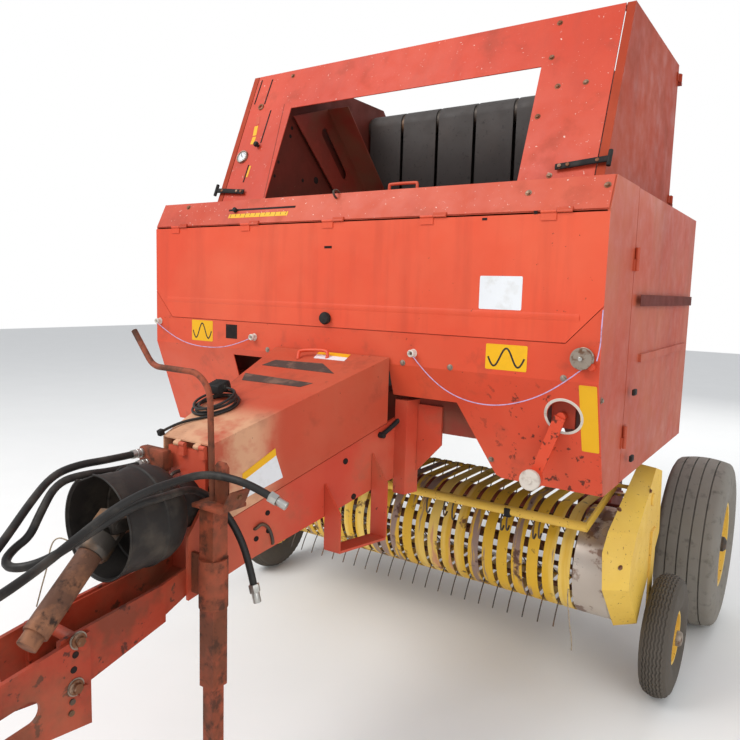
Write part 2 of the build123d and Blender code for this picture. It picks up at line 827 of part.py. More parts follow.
# Tongue frame: two tapering side plates and an upright front plate that carries the lid's hinge
frame_half = tongue_half - running
frame_front_y = cover_front_y - 60
frame_rear_y = beam_y[0] - seat
frame_points = [
    (frame_rear_y, skirt_z(frame_rear_y) - running),
    (frame_rear_y, 908),
    (-60, 872),
    (-495, 755),
    (frame_front_y, 683),
    (frame_front_y, 860),
    (cover_front_y - 20, 930),
    (cover_front_y - 8, 930),
    (cover_front_y - 8, skirt_z(cover_front_y - 8) - running),
]
front_plate_half = frame_half + tongue_taper * cover_front_y - plate_t
with BuildPart(mode=Mode.PRIVATE) as frame_core:
    add(wedge(frame_half - plate_t, frame_front_y - 1, frame_rear_y + 1, 400, 1500))
with BuildPart() as tongue_frame:
    add(wedge(frame_half, frame_front_y, frame_rear_y, 500, 1400))
    extrude(outline(side_plane(-400), frame_points), amount=800, mode=Mode.INTERSECT)
    add(frame_core.part, mode=Mode.SUBTRACT)
    front_plate = [
        (-front_plate_half - 4, skirt_z(cover_front_y) - running - 10),
        (-front_plate_half - 4, 710),
        (front_plate_half + 4, 710),
        (front_plate_half + 4, skirt_z(cover_front_y) - running - 10),
        (front_plate_half - 6, skirt_z(cover_front_y) - running - 10),
        (front_plate_half - 6, lid_pin_z - 11),
        (6 - front_plate_half, lid_pin_z - 11),
        (6 - front_plate_half, skirt_z(cover_front_y) - running - 10),
    ]
    extrude(outline(front_plane(cover_front_y + plate_t), front_plate), amount=plate_t)
    shaft_hole = disc(front_plane(cover_front_y + plate_t), (0, shaft_z), 60)
    extrude(shaft_hole, amount=plate_t, mode=Mode.SUBTRACT)
    for x in lid_knuckles:
        near = x + lid_knuckle_length + 1
        knuckle = disc(side_plane(near), (lid_pin_y, lid_pin_z), lid_knuckle_r)
        extrude(knuckle, amount=lid_knuckle_length)
        pin = disc(side_plane(near), (lid_pin_y, lid_pin_z), lid_pin_r)
        extrude(pin, amount=-lid_knuckle_length - 1)
        tab = [
            (lid_pin_y - 5, lid_pin_z),
            (lid_pin_y - 5, lid_pin_z - 30),
            (cover_front_y + 1, lid_pin_z - 30),
            (cover_front_y + 1, lid_pin_z - 12),
            (lid_pin_y + 5, lid_pin_z),
        ]
        extrude(outline(side_plane(near), tab), amount=lid_knuckle_length)
save(tongue_frame.part, "tongue_frame")

# Tongue beam ahead of the frame: a channel with a doubler plate on each side
beam_in = frame_half + tongue_taper * frame_front_y - plate_t - seat
beam_rear_y = cover_front_y - seat
doubler_y = cover_front_y - 135
beam_out = beam_in + plate_t
web = [
    (beam_rear_y, 785),
    (beam_rear_y, 720),
    (doubler_y, 664),
    (beam_front_y, 588),
    (beam_front_y, 719),
    (doubler_y, 752),
]
doubler = [
    (doubler_y, 655),
    (beam_front_y, 580),
    (beam_front_y, 725),
    (hitch_rear_y, 732),
    (doubler_y, 758),
]
floor = [
    (beam_rear_y, 728),
    (beam_rear_y, 720),
    (doubler_y, 664),
    (beam_front_y, 588),
    (beam_front_y, 596),
    (doubler_y, 672),
]
bolt_y = hitch_rear_y - 22
bolt_r = 14.0
bolt_out = beam_out + seat + 12 + 10
with BuildPart() as tongue_beam:
    for side, _ in sides:
        extrude(outline(side_plane(side * (beam_in - 8)), web), amount=side * 8)
        extrude(outline(side_plane(side * beam_in), doubler), amount=side * plate_t)
    extrude(outline(side_plane(1 - beam_in), floor), amount=2 * beam_in - 2)
    for z in bolt_zs:
        bolt = disc(side_plane(-bolt_out), (bolt_y, z), bolt_r)
        extrude(bolt, amount=2 * bolt_out)
save(tongue_beam.part, "tongue_beam")

# Hitch: two plates bolted over the beam, a block between them and a pair of ears for the drawbar
hitch_in = beam_out + seat
hitch_t = 12.0
ear_t = 20.0
ear_gap_half = 22.0
ear_r = 50.0
hitch_plate = [
    (hitch_rear_y, 727),
    (hitch_rear_y, 501),
    (-1150, 520),
    (hitch_front_y, hitch_z - ear_gap_half - ear_t),
    (hitch_front_y, hitch_z + ear_gap_half + ear_t),
    (-1250, 685),
]
with BuildPart() as hitch:
    for side, _ in sides:
        extrude(outline(side_plane(side * hitch_in), hitch_plate), amount=side * hitch_t)
        with BuildSketch(side_plane(side * hitch_in)):
            with Locations((-1195, 592)):
                SlotCenterToCenter(90, 56, rotation=8)
            for z in bolt_zs:
                with Locations((bolt_y, z)):
                    Circle(bolt_r + seat)
        extrude(amount=side * hitch_t, mode=Mode.SUBTRACT)
    with BuildSketch(side_plane(-hitch_in)):
        with Locations((hitch_front_y + 40, hitch_z)):
            Rectangle(80, 2 * (ear_gap_half + ear_t))
    extrude(amount=2 * hitch_in)
    for foot in (hitch_z - ear_gap_half - ear_t, hitch_z + ear_gap_half):
        with BuildSketch(level_plane(foot)):
            with Locations((0, (hitch_front_y + hitch_pin_y) / 2)):
                Rectangle(2 * ear_r, hitch_front_y - hitch_pin_y)
            with Locations((0, hitch_pin_y)):
                Circle(ear_r)
                Circle(hitch_pin_r, mode=Mode.SUBTRACT)
        extrude(amount=ear_t)
save(hitch.part, "hitch")

# Posts that tie the tongue to the cross beam, each with a gusset
post_y = 35.0
post_width = 45.0
with BuildPart() as frame_posts:
    for side, _ in sides:
        near = frame_half + tongue_taper * post_y + seat
        far = frame_half + tongue_taper * frame_rear_y + seat
        post = [
            (side * near, post_y),
            (side * far, frame_rear_y),
            (side * (far + post_width), frame_rear_y),
            (side * (near + post_width), post_y),
        ]
        extrude(outline(level_plane(845), post), amount=320)
        gusset = [
            (side * (far + post_width - 1), 920),
            (side * (far + post_width - 1), 1150),
            (side * (far + post_width + 90), 1150),
            (side * (far + post_width + 90), 1020),
        ]
        extrude(outline(front_plane(frame_rear_y), gusset), amount=plate_t)
save(frame_posts.part, "frame_posts")

# Skid bracket under the tongue's left side: two pointed legs with a strap across their feet
skid_in = frame_half + seat
skid_foot_z = 722.0
skid_legs = ((-60.0, 995.0, 905.0), (-250.0, 926.0, 838.0))
skid_width = 60.0
skid_t = 8.0
with BuildPart() as skid_bracket:
    for y, tip_z, corner_z in skid_legs:
        near = skid_in + tongue_taper * (y + skid_t / 2)
        leg = [
            (near, skid_foot_z),
            (near + skid_width, skid_foot_z),
            (near + skid_width, corner_z),
            (near, tip_z),
        ]
        extrude(outline(front_plane(y + skid_t / 2), leg), amount=skid_t)
    strap = [(skid_in + tongue_taper * y, y) for y in (skid_legs[1][0], skid_legs[0][0])]
    strap += [(x + skid_width, y) for x, y in reversed(strap)]
    extrude(outline(level_plane(skid_foot_z - skid_t), strap), amount=skid_t)
save(skid_bracket.part, "skid_bracket")

# Jack: a square tube in a sleeve beside the tongue, on a bracket, with a sliding leg
bracket_z = (sleeve_zs[0] + 10, sleeve_zs[1] - 10)
with BuildPart() as jack_body:
    with BuildSketch(level_plane(jack_foot_z)):
        with Locations((jack_x, jack_y)):
            Rectangle(jack_tube, jack_tube)
            Rectangle(jack_tube - 2 * jack_wall, jack_tube - 2 * jack_wall, mode=Mode.SUBTRACT)
    extrude(amount=jack_top_z - jack_foot_z)
    with BuildSketch(level_plane(jack_top_z)):
        with Locations((jack_x, jack_y)):
            Circle(sleeve_r)
    extrude(amount=10)
    with BuildSketch(level_plane(sleeve_zs[0])):
        with Locations((jack_x, jack_y)):
            Circle(sleeve_r)
            Rectangle(jack_tube - 1, jack_tube - 1, mode=Mode.SUBTRACT)
    extrude(amount=sleeve_zs[1] - sleeve_zs[0])
    arm_near = frame_half + tongue_taper * (jack_y + 18) + seat
    with BuildSketch(level_plane(bracket_z[0])):
        with Locations(((arm_near + jack_x - 30) / 2, jack_y + 12)):
            Rectangle(jack_x - 30 - arm_near, 12)
    extrude(amount=bracket_z[1] - bracket_z[0])
save(jack_body.part, "jack_body")

pad_t = 8.0
with BuildPart() as jack_leg_and_foot:
    with BuildSketch(level_plane(pad_t)):
        with Locations((jack_x, jack_y)):
            Rectangle(jack_leg, jack_leg)
    extrude(amount=jack_foot_z + 100 - pad_t)
    with BuildSketch(level_plane(0)):
        with Locations((jack_x, jack_y)):
            RectangleRounded(2 * pad_half, 2 * pad_half, 20)
    extrude(amount=pad_t)
save(jack_leg_and_foot.part, "jack_leg")

# Power take-off: gearbox, input shaft with its drooping front half, and the bell-shaped shield
gearbox_rear_y = beam_y[0] - seat
gearbox_front_y = -120.0
gearbox_half = 110.0
gearbox_z = (900.0, 1090.0)
with BuildPart() as gearbox:
    with BuildSketch(side_plane(-gearbox_half)):
        with Locations(((gearbox_rear_y + gearbox_front_y) / 2, sum(gearbox_z) / 2)):
            Rectangle(gearbox_rear_y - gearbox_front_y, gearbox_z[1] - gearbox_z[0])
    extrude(amount=2 * gearbox_half)
save(gearbox.part, "gearbox")

shaft_r = 17.5
joint_y = -840.0
tube_r = 33.0
tube_end_y = -1130.0
tube_end_z = 703.0
droop = math.hypot(tube_end_y - joint_y, tube_end_z - shaft_z)
with BuildPart() as pto_shaft:
    input_shaft = disc(front_plane(gearbox_front_y - seat), (0, shaft_z), shaft_r)
    extrude(input_shaft, amount=gearbox_front_y - joint_y)
    tube_plane = Plane(
        origin=(0, front_y + joint_y, shaft_z),
        x_dir=(1, 0, 0),
        z_dir=(0, (tube_end_y - joint_y) / droop, (tube_end_z - shaft_z) / droop),
    )
    with BuildSketch(tube_plane):
        Circle(tube_r)
    extrude(amount=droop)
    with BuildSketch(side_plane(-tube_r)):
        with Locations((joint_y, shaft_z)):
            Circle(tube_r)
    extrude(amount=2 * tube_r)
save(pto_shaft.part, "pto_shaft")

bell_t = 4.0
bell_back_y = cover_front_y - seat
bell_neck_r = 66.0
bell_profile = [
    (bell_neck_r, bell_back_y),
    (bell_neck_r + bell_t, bell_back_y),
    (bell_neck_r + bell_t, bell_y[0] + 30),
    (bell_r, bell_y[0] - 30),
    (bell_r, bell_y[1]),
    (bell_r - bell_t, bell_y[1]),
    (bell_r - bell_t, bell_y[0] - 30),
    (bell_neck_r, bell_y[0] + 30),
]
with BuildPart() as pto_shield:
    with BuildSketch(Plane(origin=(0, front_y, shaft_z), x_dir=(1, 0, 0), z_dir=(0, 0, 1))):
        with BuildLine():
            Polyline(*bell_profile, close=True)
        make_face()
    revolve(axis=Axis((0, front_y, shaft_z), (0, 1, 0)))
save(pto_shield.part, "pto_shield")

# Pickup frame: side plates, end drums, and the two rails that carry the bands
drum_in = band_pitch * (band_count - 1) / 2 + band_width / 2 + 10
pickup_t = 6.0
rail_y = (965.0, 990.0)
rail_t = 10.0
shaft_end_r = 20.0
deck_top = reel_z + band_r
deck_foot = reel_z - band_r
side_points = [
    (reel_y, deck_top - band_t),
    (rail_y[1] + 10, deck_top - band_t),
    (pivot_y + 30, pivot_z + 30),
    (pivot_y + 30, pivot_z - 40),
    (rail_y[1] + 10, deck_foot + band_t),
    (reel_y, deck_foot + band_t),
]
rails = ((deck_top - band_t - seat - rail_t), (deck_foot + band_t + seat))
with BuildPart() as pickup_frame:
    for side, _ in sides:
        with BuildSketch(side_plane(side * (pickup_half - pickup_t))):
            with Locations((reel_y, reel_z)):
                Circle(band_r - band_t)
            with BuildLine():
                Polyline(*side_points, close=True)
            make_face()
            with Locations((reel_y, reel_z)):
                Circle(shaft_end_r + 1, mode=Mode.SUBTRACT)
            with Locations((pivot_y, pivot_z)):
                Circle(pivot_r, mode=Mode.SUBTRACT)
        extrude(amount=side * pickup_t)
        drum = disc(side_plane(side * drum_in), (reel_y, reel_z), band_r, band_r - 4)
        extrude(drum, amount=side * (pickup_half - pickup_t - drum_in))
    for z in rails:
        with BuildSketch(side_plane(pickup_t - pickup_half)):
            with Locations((sum(rail_y) / 2, z + rail_t / 2)):
                Rectangle(rail_y[1] - rail_y[0], rail_t)
        extrude(amount=2 * (pickup_half - pickup_t))
save(pickup_frame.part, "pickup_frame")

band_xs = [(i - (band_count - 1) / 2) * band_pitch for i in range(band_count)]
with BuildPart() as stripper_bands:
    for x in band_xs:
        with BuildSketch(side_plane(x - band_width / 2)):
            with Locations((reel_y, reel_z)):
                Circle(band_r)
            with Locations(((reel_y + rail_y[1]) / 2, reel_z)):
                Rectangle(rail_y[1] - reel_y, 2 * band_r)
            with Locations((reel_y, reel_z)):
                Circle(band_r - band_t, mode=Mode.SUBTRACT)
            with Locations(((reel_y + rail_y[1]) / 2 + 1, reel_z)):
                Rectangle(rail_y[1] - reel_y + 2, 2 * (band_r - band_t), mode=Mode.SUBTRACT)
        extrude(amount=band_width)
save(stripper_bands.part, "stripper_bands")

# Drive guard: a yellow tray over the chain drive on the left side, its front rim sloping inwards
guard_foot = [
    (860, 885),
    (471, 722),
    (410, 665),
    (440, 520),
    (640, 310),
    (760, 400),
    (985, 590),
    (950, 850),
]
guard_face = [
    (830, 885),
    (581, 695),
    (516, 600),
    (516, 511),
    (690, 320),
    (760, 400),
    (985, 590),
    (950, 850),
]
guard_x = pickup_half + seat


def guard_block(inset, depth):
    """The guard's solid form, drawn in by inset, from its open side to depth."""
    with BuildPart() as block:
        for points, x in ((guard_foot, guard_x), (guard_face, guard_x + depth)):
            with BuildSketch(side_plane(x)):
                with BuildLine():
                    Polyline(*points, close=True)
                    if inset:
                        offset(amount=-inset, kind=Kind.INTERSECTION)
                make_face()
        loft(ruled=True)
    return block.part


with BuildPart() as drive_guard:
    add(guard_block(0, guard_depth))
    add(guard_block(sheet, guard_depth - sheet), mode=Mode.SUBTRACT)
save(drive_guard.part, "drive_guard")

# Gauge wheel arms: on the guard at the left, on a spacer tube at the right
arm_x = guard_x + guard_depth + seat
arm_points = [
    (gauge_y - 35, 640),
    (gauge_y + 35, 640),
    (gauge_y + 20, gauge_r - 15),
    (gauge_y - 20, gauge_r - 15),
]
with BuildPart() as gauge_arms:
    for side, _ in sides:
        extrude(outline(side_plane(side * arm_x), arm_points), amount=side * arm_t)
        pin = disc(side_plane(side * arm_x), (gauge_y, gauge_r), gauge_pin_r)
        extrude(pin, amount=side * (gauge_x + 50 - arm_x))
    spacer = disc(side_plane(-arm_x), (gauge_y, 480), 30)
    extrude(spacer, amount=arm_x - pickup_half - seat)
save(gauge_arms.part, "gauge_arms")

# Tined reel: shaft, end discs, four bars and their tines in the gaps between bands
tine_xs = [i * band_pitch for i in range(1 - band_count // 2, band_count // 2)]
reel_half = drum_in - 12
tine_reach = tine_tip_r - bar_ring_r
with BuildPart() as tine_reel:
    extrude(disc(side_plane(-pickup_half), (reel_y, reel_z), shaft_end_r), amount=2 * pickup_half)
    for side, _ in sides:
        end_disc = disc(side_plane(side * reel_half), (reel_y, reel_z), bar_ring_r + bar_r + 6)
        extrude(end_disc, amount=-side * 6)
    for i in range(bar_count):
        angle = math.radians(45 + 360 / bar_count * i)
        bar_at = (reel_y + bar_ring_r * math.cos(angle), reel_z + bar_ring_r * math.sin(angle))
        with BuildSketch(side_plane(-reel_half)):
            with Locations(Location(bar_at, math.degrees(angle))):
                Rectangle(2 * bar_r, 2 * bar_r)
        extrude(amount=2 * reel_half)
        tine_plane = Plane(
            origin=(0, front_y + bar_at[0], bar_at[1]),
            x_dir=(1, 0, 0),
            z_dir=(0, math.cos(angle), math.sin(angle)),
        )
        with BuildSketch(tine_plane):
            with Locations(*[(x, 0) for x in tine_xs]):
                Rectangle(2 * tine_r, 2 * tine_r)
        extrude(amount=tine_reach)
save(tine_reel.part, "tine_reel")

# Windguard: a bar on two arms over the front of the reel
guard_pin_r = 8.0
windguard_arm = [
    (windguard_y, windguard_z - windguard_r),
    (windguard_pivot_y + 18, windguard_pivot_z - 18),
    (windguard_pivot_y + 18, windguard_pivot_z + 18),
    (windguard_y, windguard_z + windguard_r),
]
windguard_arm_t = 8.0
with BuildPart() as windguard:
    bar = disc(side_plane(-windguard_half), (windguard_y, windguard_z), windguard_r)
    extrude(bar, amount=2 * windguard_half)
    for side, _ in sides:
        near = side * (windguard_half - windguard_arm_t)
        extrude(outline(side_plane(near), windguard_arm), amount=side * windguard_arm_t)
        pin_way = disc(side_plane(near), (windguard_pivot_y, windguard_pivot_z), guard_pin_r)
        extrude(pin_way, amount=side * windguard_arm_t, mode=Mode.SUBTRACT)
save(windguard.part, "windguard")

# Lugs that hold the windguard's pins above the pickup's side plates
lug_points = [
    (windguard_pivot_y - 22, deck_top - band_t + seat),
    (windguard_pivot_y + 22, deck_top - band_t + seat),
    (windguard_pivot_y + 22, windguard_pivot_z + 22),
    (windguard_pivot_y - 22, windguard_pivot_z + 22),
]
with BuildPart() as windguard_lugs:
    for side, _ in sides:
        extrude(outline(side_plane(side * (pickup_half - pickup_t)), lug_points), amount=side * pickup_t)
        pin_start = windguard_half - windguard_arm_t - 4
        pin = disc(side_plane(side * pin_start), (windguard_pivot_y, windguard_pivot_z), guard_pin_r - seat)
        extrude(pin, amount=side * (pickup_half - pickup_t - pin_start))
save(windguard_lugs.part, "windguard_lugs")

# Hose stand: a bent rod that rises from the jack's cap
stand_r = 8.0
stand_points = [(jack_x - 4, jack_top_z + 10 + seat), (157, 1304), (-62, 1306), (-140, 1397)]
stand_bends = [75.0, 60.0]
with BuildPart() as hose_stand:
    with BuildLine():
        path = FilletPolyline(
            *[(x, front_y + jack_y, z) for x, z in stand_points],
            radius=stand_bends,
        )
    with BuildSketch(Plane(origin=path @ 0, z_dir=path % 0)):
        Circle(stand_r)
    sweep()
save(hose_stand.part, "hose_stand")

# Twine arm: a flat lever from the hole in the apron down to a roller
lever_top = (lever_hole_x - 10, lever_hole_z)
lever_foot = (lever_hole_x - 77.0, 985.0)
lever_y = 40.0
with BuildPart() as twine_arm:
    lever = [
        (lever_top[0] - 16, lever_top[1] + 6),
        (lever_top[0] + 16, lever_top[1] - 6),
        (lever_foot[0] + 16, lever_foot[1] - 6),
        (lever_foot[0] - 16, lever_foot[1] + 6),
    ]
    extrude(outline(front_plane(lever_y), lever), amount=8)
    extrude(disc(front_plane(lever_y - 8), lever_foot, 30), amount=20)
    extrude(disc(front_plane(hanger_y - seat), lever_top, 14), amount=hanger_y - seat - lever_y)
save(twine_arm.part, "twine_arm")
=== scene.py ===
import math
import bpy
from mathutils import Matrix, Vector


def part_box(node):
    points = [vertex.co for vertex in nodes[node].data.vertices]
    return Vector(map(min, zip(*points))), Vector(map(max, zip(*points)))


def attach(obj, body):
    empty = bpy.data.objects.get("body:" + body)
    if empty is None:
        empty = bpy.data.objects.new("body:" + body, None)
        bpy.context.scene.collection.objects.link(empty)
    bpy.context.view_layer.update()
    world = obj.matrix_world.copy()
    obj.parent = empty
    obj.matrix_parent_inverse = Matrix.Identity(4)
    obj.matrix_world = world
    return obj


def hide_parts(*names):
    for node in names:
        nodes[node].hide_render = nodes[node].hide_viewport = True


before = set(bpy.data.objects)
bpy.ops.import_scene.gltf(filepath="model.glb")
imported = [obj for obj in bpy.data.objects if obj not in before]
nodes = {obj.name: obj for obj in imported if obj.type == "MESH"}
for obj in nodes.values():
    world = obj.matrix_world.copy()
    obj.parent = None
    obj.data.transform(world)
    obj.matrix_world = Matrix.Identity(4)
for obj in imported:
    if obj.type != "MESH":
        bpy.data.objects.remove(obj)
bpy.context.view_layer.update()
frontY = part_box("apron")[0].y  # the upright front panel; places are given behind it
mirrors = {"left": 1, "right": -1}  # the machine's left is towards +X
forward = (0, -1, 0)
print("frame loaded:", len(nodes), "nodes")

# Camera at the photograph's place
cameraSetup = {"place": (1.44, frontY - 1.879, 1.525), "yaw": 34.064, "pitch": 6.687, "roll": 1.62,
               "lens": 33.1}
yaw, pitch, roll = (math.radians(cameraSetup[k]) for k in ("yaw", "pitch", "roll"))
backward = Vector((math.sin(yaw) * math.cos(pitch), -math.cos(yaw) * math.cos(pitch), math.sin(pitch)))
level = (-backward).cross(Vector((0, 0, 1))).normalized()
upward = level.cross(-backward)
sideways = math.cos(roll) * level + math.sin(roll) * upward
upright = -math.sin(roll) * level + math.cos(roll) * upward
bpy.ops.object.camera_add()
camera = bpy.context.object
cameraTurn = Matrix((sideways, upright, backward)).transposed().to_4x4()
camera.matrix_world = Matrix.Translation(cameraSetup["place"]) @ cameraTurn
camera.data.lens = cameraSetup["lens"]
bpy.context.scene.camera = camera


# Modelling helpers
def clearSelection():
    if bpy.context.object and bpy.context.object.mode != "OBJECT":
        bpy.ops.object.mode_set(mode="OBJECT")
    bpy.ops.object.select_all(action="DESELECT")


def useOnly(piece):
    clearSelection()
    piece.select_set(True)
    bpy.context.view_layer.objects.active = piece


def editAll(piece, element="FACE"):
    useOnly(piece)
    bpy.ops.object.mode_set(mode="EDIT")
    bpy.ops.mesh.select_mode(type=element)
    bpy.ops.mesh.select_all(action="SELECT")


def pickFaces(piece, test):
    editAll(piece)
    bpy.ops.mesh.select_all(action="DESELECT")
    bpy.ops.object.mode_set(mode="OBJECT")
    for face in piece.data.polygons:
        face.select = test(face.center, face.normal)
    bpy.ops.object.mode_set(mode="EDIT")


def placeInMesh():
    bpy.ops.object.transform_apply(location=True, rotation=True, scale=True)


def settle(piece, name, smooth=35):
    # place goes into the mesh, faces outwards, smooth where shallow
    editAll(piece)
    bpy.ops.mesh.remove_doubles(threshold=0.00002)
    bpy.ops.mesh.normals_make_consistent(inside=False)
    bpy.ops.object.mode_set(mode="OBJECT")
    placeInMesh()
    bpy.ops.object.shade_smooth_by_angle(angle=math.radians(smooth))
    piece.name = name
    return piece


def block(name, low, high, bevel=0.0015):
    low, high = Vector(low), Vector(high)
    clearSelection()
    bpy.ops.mesh.primitive_cube_add(size=1, location=(low + high) / 2, scale=high - low)
    piece = bpy.context.object
    placeInMesh()
    if bevel:
        editAll(piece, "EDGE")
        bpy.ops.mesh.bevel(offset=bevel, segments=2)
    return settle(piece, name)


def rod(name, start, end, radius, sides=24, bevel=0.001):
    start, end = Vector(start), Vector(end)
    along = end - start
    clearSelection()
    turn = along.to_track_quat("Z", "Y").to_euler()
    bpy.ops.mesh.primitive_cylinder_add(vertices=sides, radius=radius, depth=along.length,
                                        location=(start + end) / 2, rotation=turn)
    piece = bpy.context.object
    placeInMesh()
    if bevel:
        pickFaces(piece, lambda centre, normal: abs(normal.dot(along.normalized())) > 0.9)
        bpy.ops.mesh.bevel(offset=bevel, segments=2)
    return settle(piece, name)


def traceLine(points):
    # one vertex, extruded from point to point as by hand
    points = [Vector(p) for p in points]
    clearSelection()
    bpy.ops.mesh.primitive_plane_add(size=0.01, location=points[0])
    piece = bpy.context.object
    placeInMesh()
    editAll(piece, "VERT")
    bpy.ops.mesh.merge(type="CENTER")
    for before, after in zip(points, points[1:]):
        bpy.ops.mesh.extrude_region_move(TRANSFORM_OT_translate={"value": after - before})
    return piece


def plate(name, corners, thickness, bevel=0.0):
    piece = traceLine(list(corners) + [corners[0]])
    bpy.ops.mesh.select_all(action="SELECT")
    bpy.ops.mesh.remove_doubles(threshold=0.00005)
    bpy.ops.mesh.edge_face_add()
    bpy.ops.mesh.extrude_region_move(TRANSFORM_OT_translate={"value": Vector(thickness)})
    if bevel:
        bpy.ops.mesh.select_all(action="SELECT")
        bpy.ops.mesh.normals_make_consistent(inside=False)
        bpy.ops.mesh.bevel(offset=bevel, segments=2)
    return settle(piece, name)


def spun(name, profile, centre, steps=48, axis=(1, 0, 0), outward=(0, 0, 1), closed=True, smooth=35):
    # profile pairs are (along the axis, radius)
    centre, axis, outward = Vector(centre), Vector(axis), Vector(outward)
    points = [centre + axis * a + outward * r for a, r in profile]
    piece = traceLine(points + points[:1] if closed else points)
    bpy.ops.mesh.select_all(action="SELECT")
    bpy.ops.mesh.spin(steps=steps, angle=2 * math.pi, center=centre, axis=axis)
    bpy.ops.mesh.select_all(action="SELECT")
    bpy.ops.mesh.remove_doubles(threshold=0.00005)
    return settle(piece, name, smooth)


def ringOn(name, profile, place, normal, steps, closed=True):
    # a ring or knob turned about the way that its surface faces
    return spun(name, profile, place, steps, normal, (1, 0, 0), closed)


def curveThrough(name, points, radius, sides=3):
    data = bpy.data.curves.new(name, "CURVE")
    data.dimensions = "3D"
    data.bevel_depth = radius
    data.bevel_resolution = sides
    data.use_fill_caps = True
    spline = data.splines.new("NURBS")
    spline.points.add(len(points) - 1)
    for target, place in zip(spline.points, points):
        target.co = (*place, 1)
    spline.order_u = 3
    spline.use_endpoint_u = True
    spline.resolution_u = 6
    piece = bpy.data.objects.new(name, data)
    bpy.context.scene.collection.objects.link(piece)
    return piece


def wire(name, points, radius, sides=3):
    # a bent bar or wire that follows its points smoothly
    useOnly(curveThrough(name, points, radius, sides))
    bpy.ops.object.convert(target="MESH")
    return settle(bpy.context.object, name, 50)


def copyTo(master, name, matrix):
    piece = master.copy()
    piece.data = master.data.copy()
    piece.name = name
    bpy.context.scene.collection.objects.link(piece)
    piece.data.transform(matrix)
    return piece


def seated(place, normal, turn=0.0):
    # a flat piece modelled on the level plane is laid on a surface: its top faces along normal
    z = Vector(normal).normalized()
    x = Vector((0, 0, 1)).cross(z).normalized()
    y = z.cross(x)
    basis = Matrix((x, y, z)).transposed().to_4x4()
    return Matrix.Translation(Vector(place)) @ basis @ Matrix.Rotation(turn, 4, "Z")


def join(pieces, name):
    clearSelection()
    for piece in pieces:
        piece.select_set(True)
    bpy.context.view_layer.objects.active = pieces[0]
    if len(pieces) > 1:
        bpy.ops.object.join()
    pieces[0].name = name
    return pieces[0]


def at(x, y, z):
    # a place given as sideways, behind the front panel, height
    return Vector((x, frontY + y, z))


def strike(name, origin, direction):
    # where a line first meets a carried-over solid, and which way it faces there
    found, place, normal, _ = nodes[name].ray_cast(Vector(origin), Vector(direction).normalized())
    if not found:
        raise RuntimeError("nothing of " + name + " at " + str(tuple(origin)))
    return place, normal


flushSink = 0.0004  # flat strips are sunk this far, so that they have no gap under them


def strip(name, start, end, width, normal, thick=0.0008):
    # a flat strip that lies on a surface
    start, end, normal = Vector(start), Vector(end), Vector(normal).normalized()
    across = (end - start).cross(normal).normalized() * (width / 2)
    sunk = normal * -flushSink
    corners = [start - across + sunk, end - across + sunk, end + across + sunk, start + across + sunk]
    return plate(name, corners, normal * (thick + flushSink))


def dress(piece, material, body="frame", replaced=None):
    piece.data.materials.clear()
    piece.data.materials.append(material)
    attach(piece, body)
    if replaced:
        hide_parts(replaced)
    return piece


# Material helpers
def colourOf(code):
    values = [int(code[i:i + 2], 16) / 255 for i in (0, 2, 4)]
    return tuple((v / 12.92 if v <= 0.04045 else ((v + 0.055) / 1.055) ** 2.4) for v in values) + (1.0,)


def addNode(tree, kind, inputs=None, **settings):
    made = tree.nodes.new(kind)
    for key, value in settings.items():
        setattr(made, key, value)
    for key, value in (inputs or {}).items():
        made.inputs[key].default_value = value
    return made


def coat(colour, scale, low, high, amount=1.0, **more):
    # a colour that shows where noise of this scale passes low, in full from high on
    return {"colour": colour, "scale": scale, "low": low, "high": high, "amount": amount, **more}


def noiseMask(tree, layer):
    link = tree.links.new
    place = addNode(tree, "ShaderNodeTexCoord")
    mapping = addNode(tree, "ShaderNodeMapping", {
        "Scale": layer.get("stretch", (1, 1, 1)), "Location": layer.get("shift", (0, 0, 0))})
    noise = addNode(tree, "ShaderNodeTexNoise", {"Scale": layer["scale"], "Detail": 5.0, "Roughness": 0.6})
    ramp = addNode(tree, "ShaderNodeMapRange", {
        "From Min": layer["low"], "From Max": layer["high"], "To Max": layer.get("amount", 1.0)})
    link(place.outputs["Object"], mapping.inputs["Vector"])
    link(mapping.outputs["Vector"], noise.inputs["Vector"])
    link(noise.outputs["Fac"], ramp.inputs["Value"])
    result = ramp.outputs["Result"]
    for axis, start, end in layer.get("zones", ()):
        split = addNode(tree, "ShaderNodeSeparateXYZ")
        zone = addNode(tree, "ShaderNodeMapRange", {"From Min": start, "From Max": end},
                       interpolation_type="SMOOTHSTEP")
        both = addNode(tree, "ShaderNodeMath", operation="MULTIPLY")
        link(place.outputs["Object"], split.inputs["Vector"])
        link(split.outputs[axis], zone.inputs["Value"])
        link(result, both.inputs[0])
        link(zone.outputs["Result"], both.inputs[1])
        result = both.outputs["Value"]
    return result


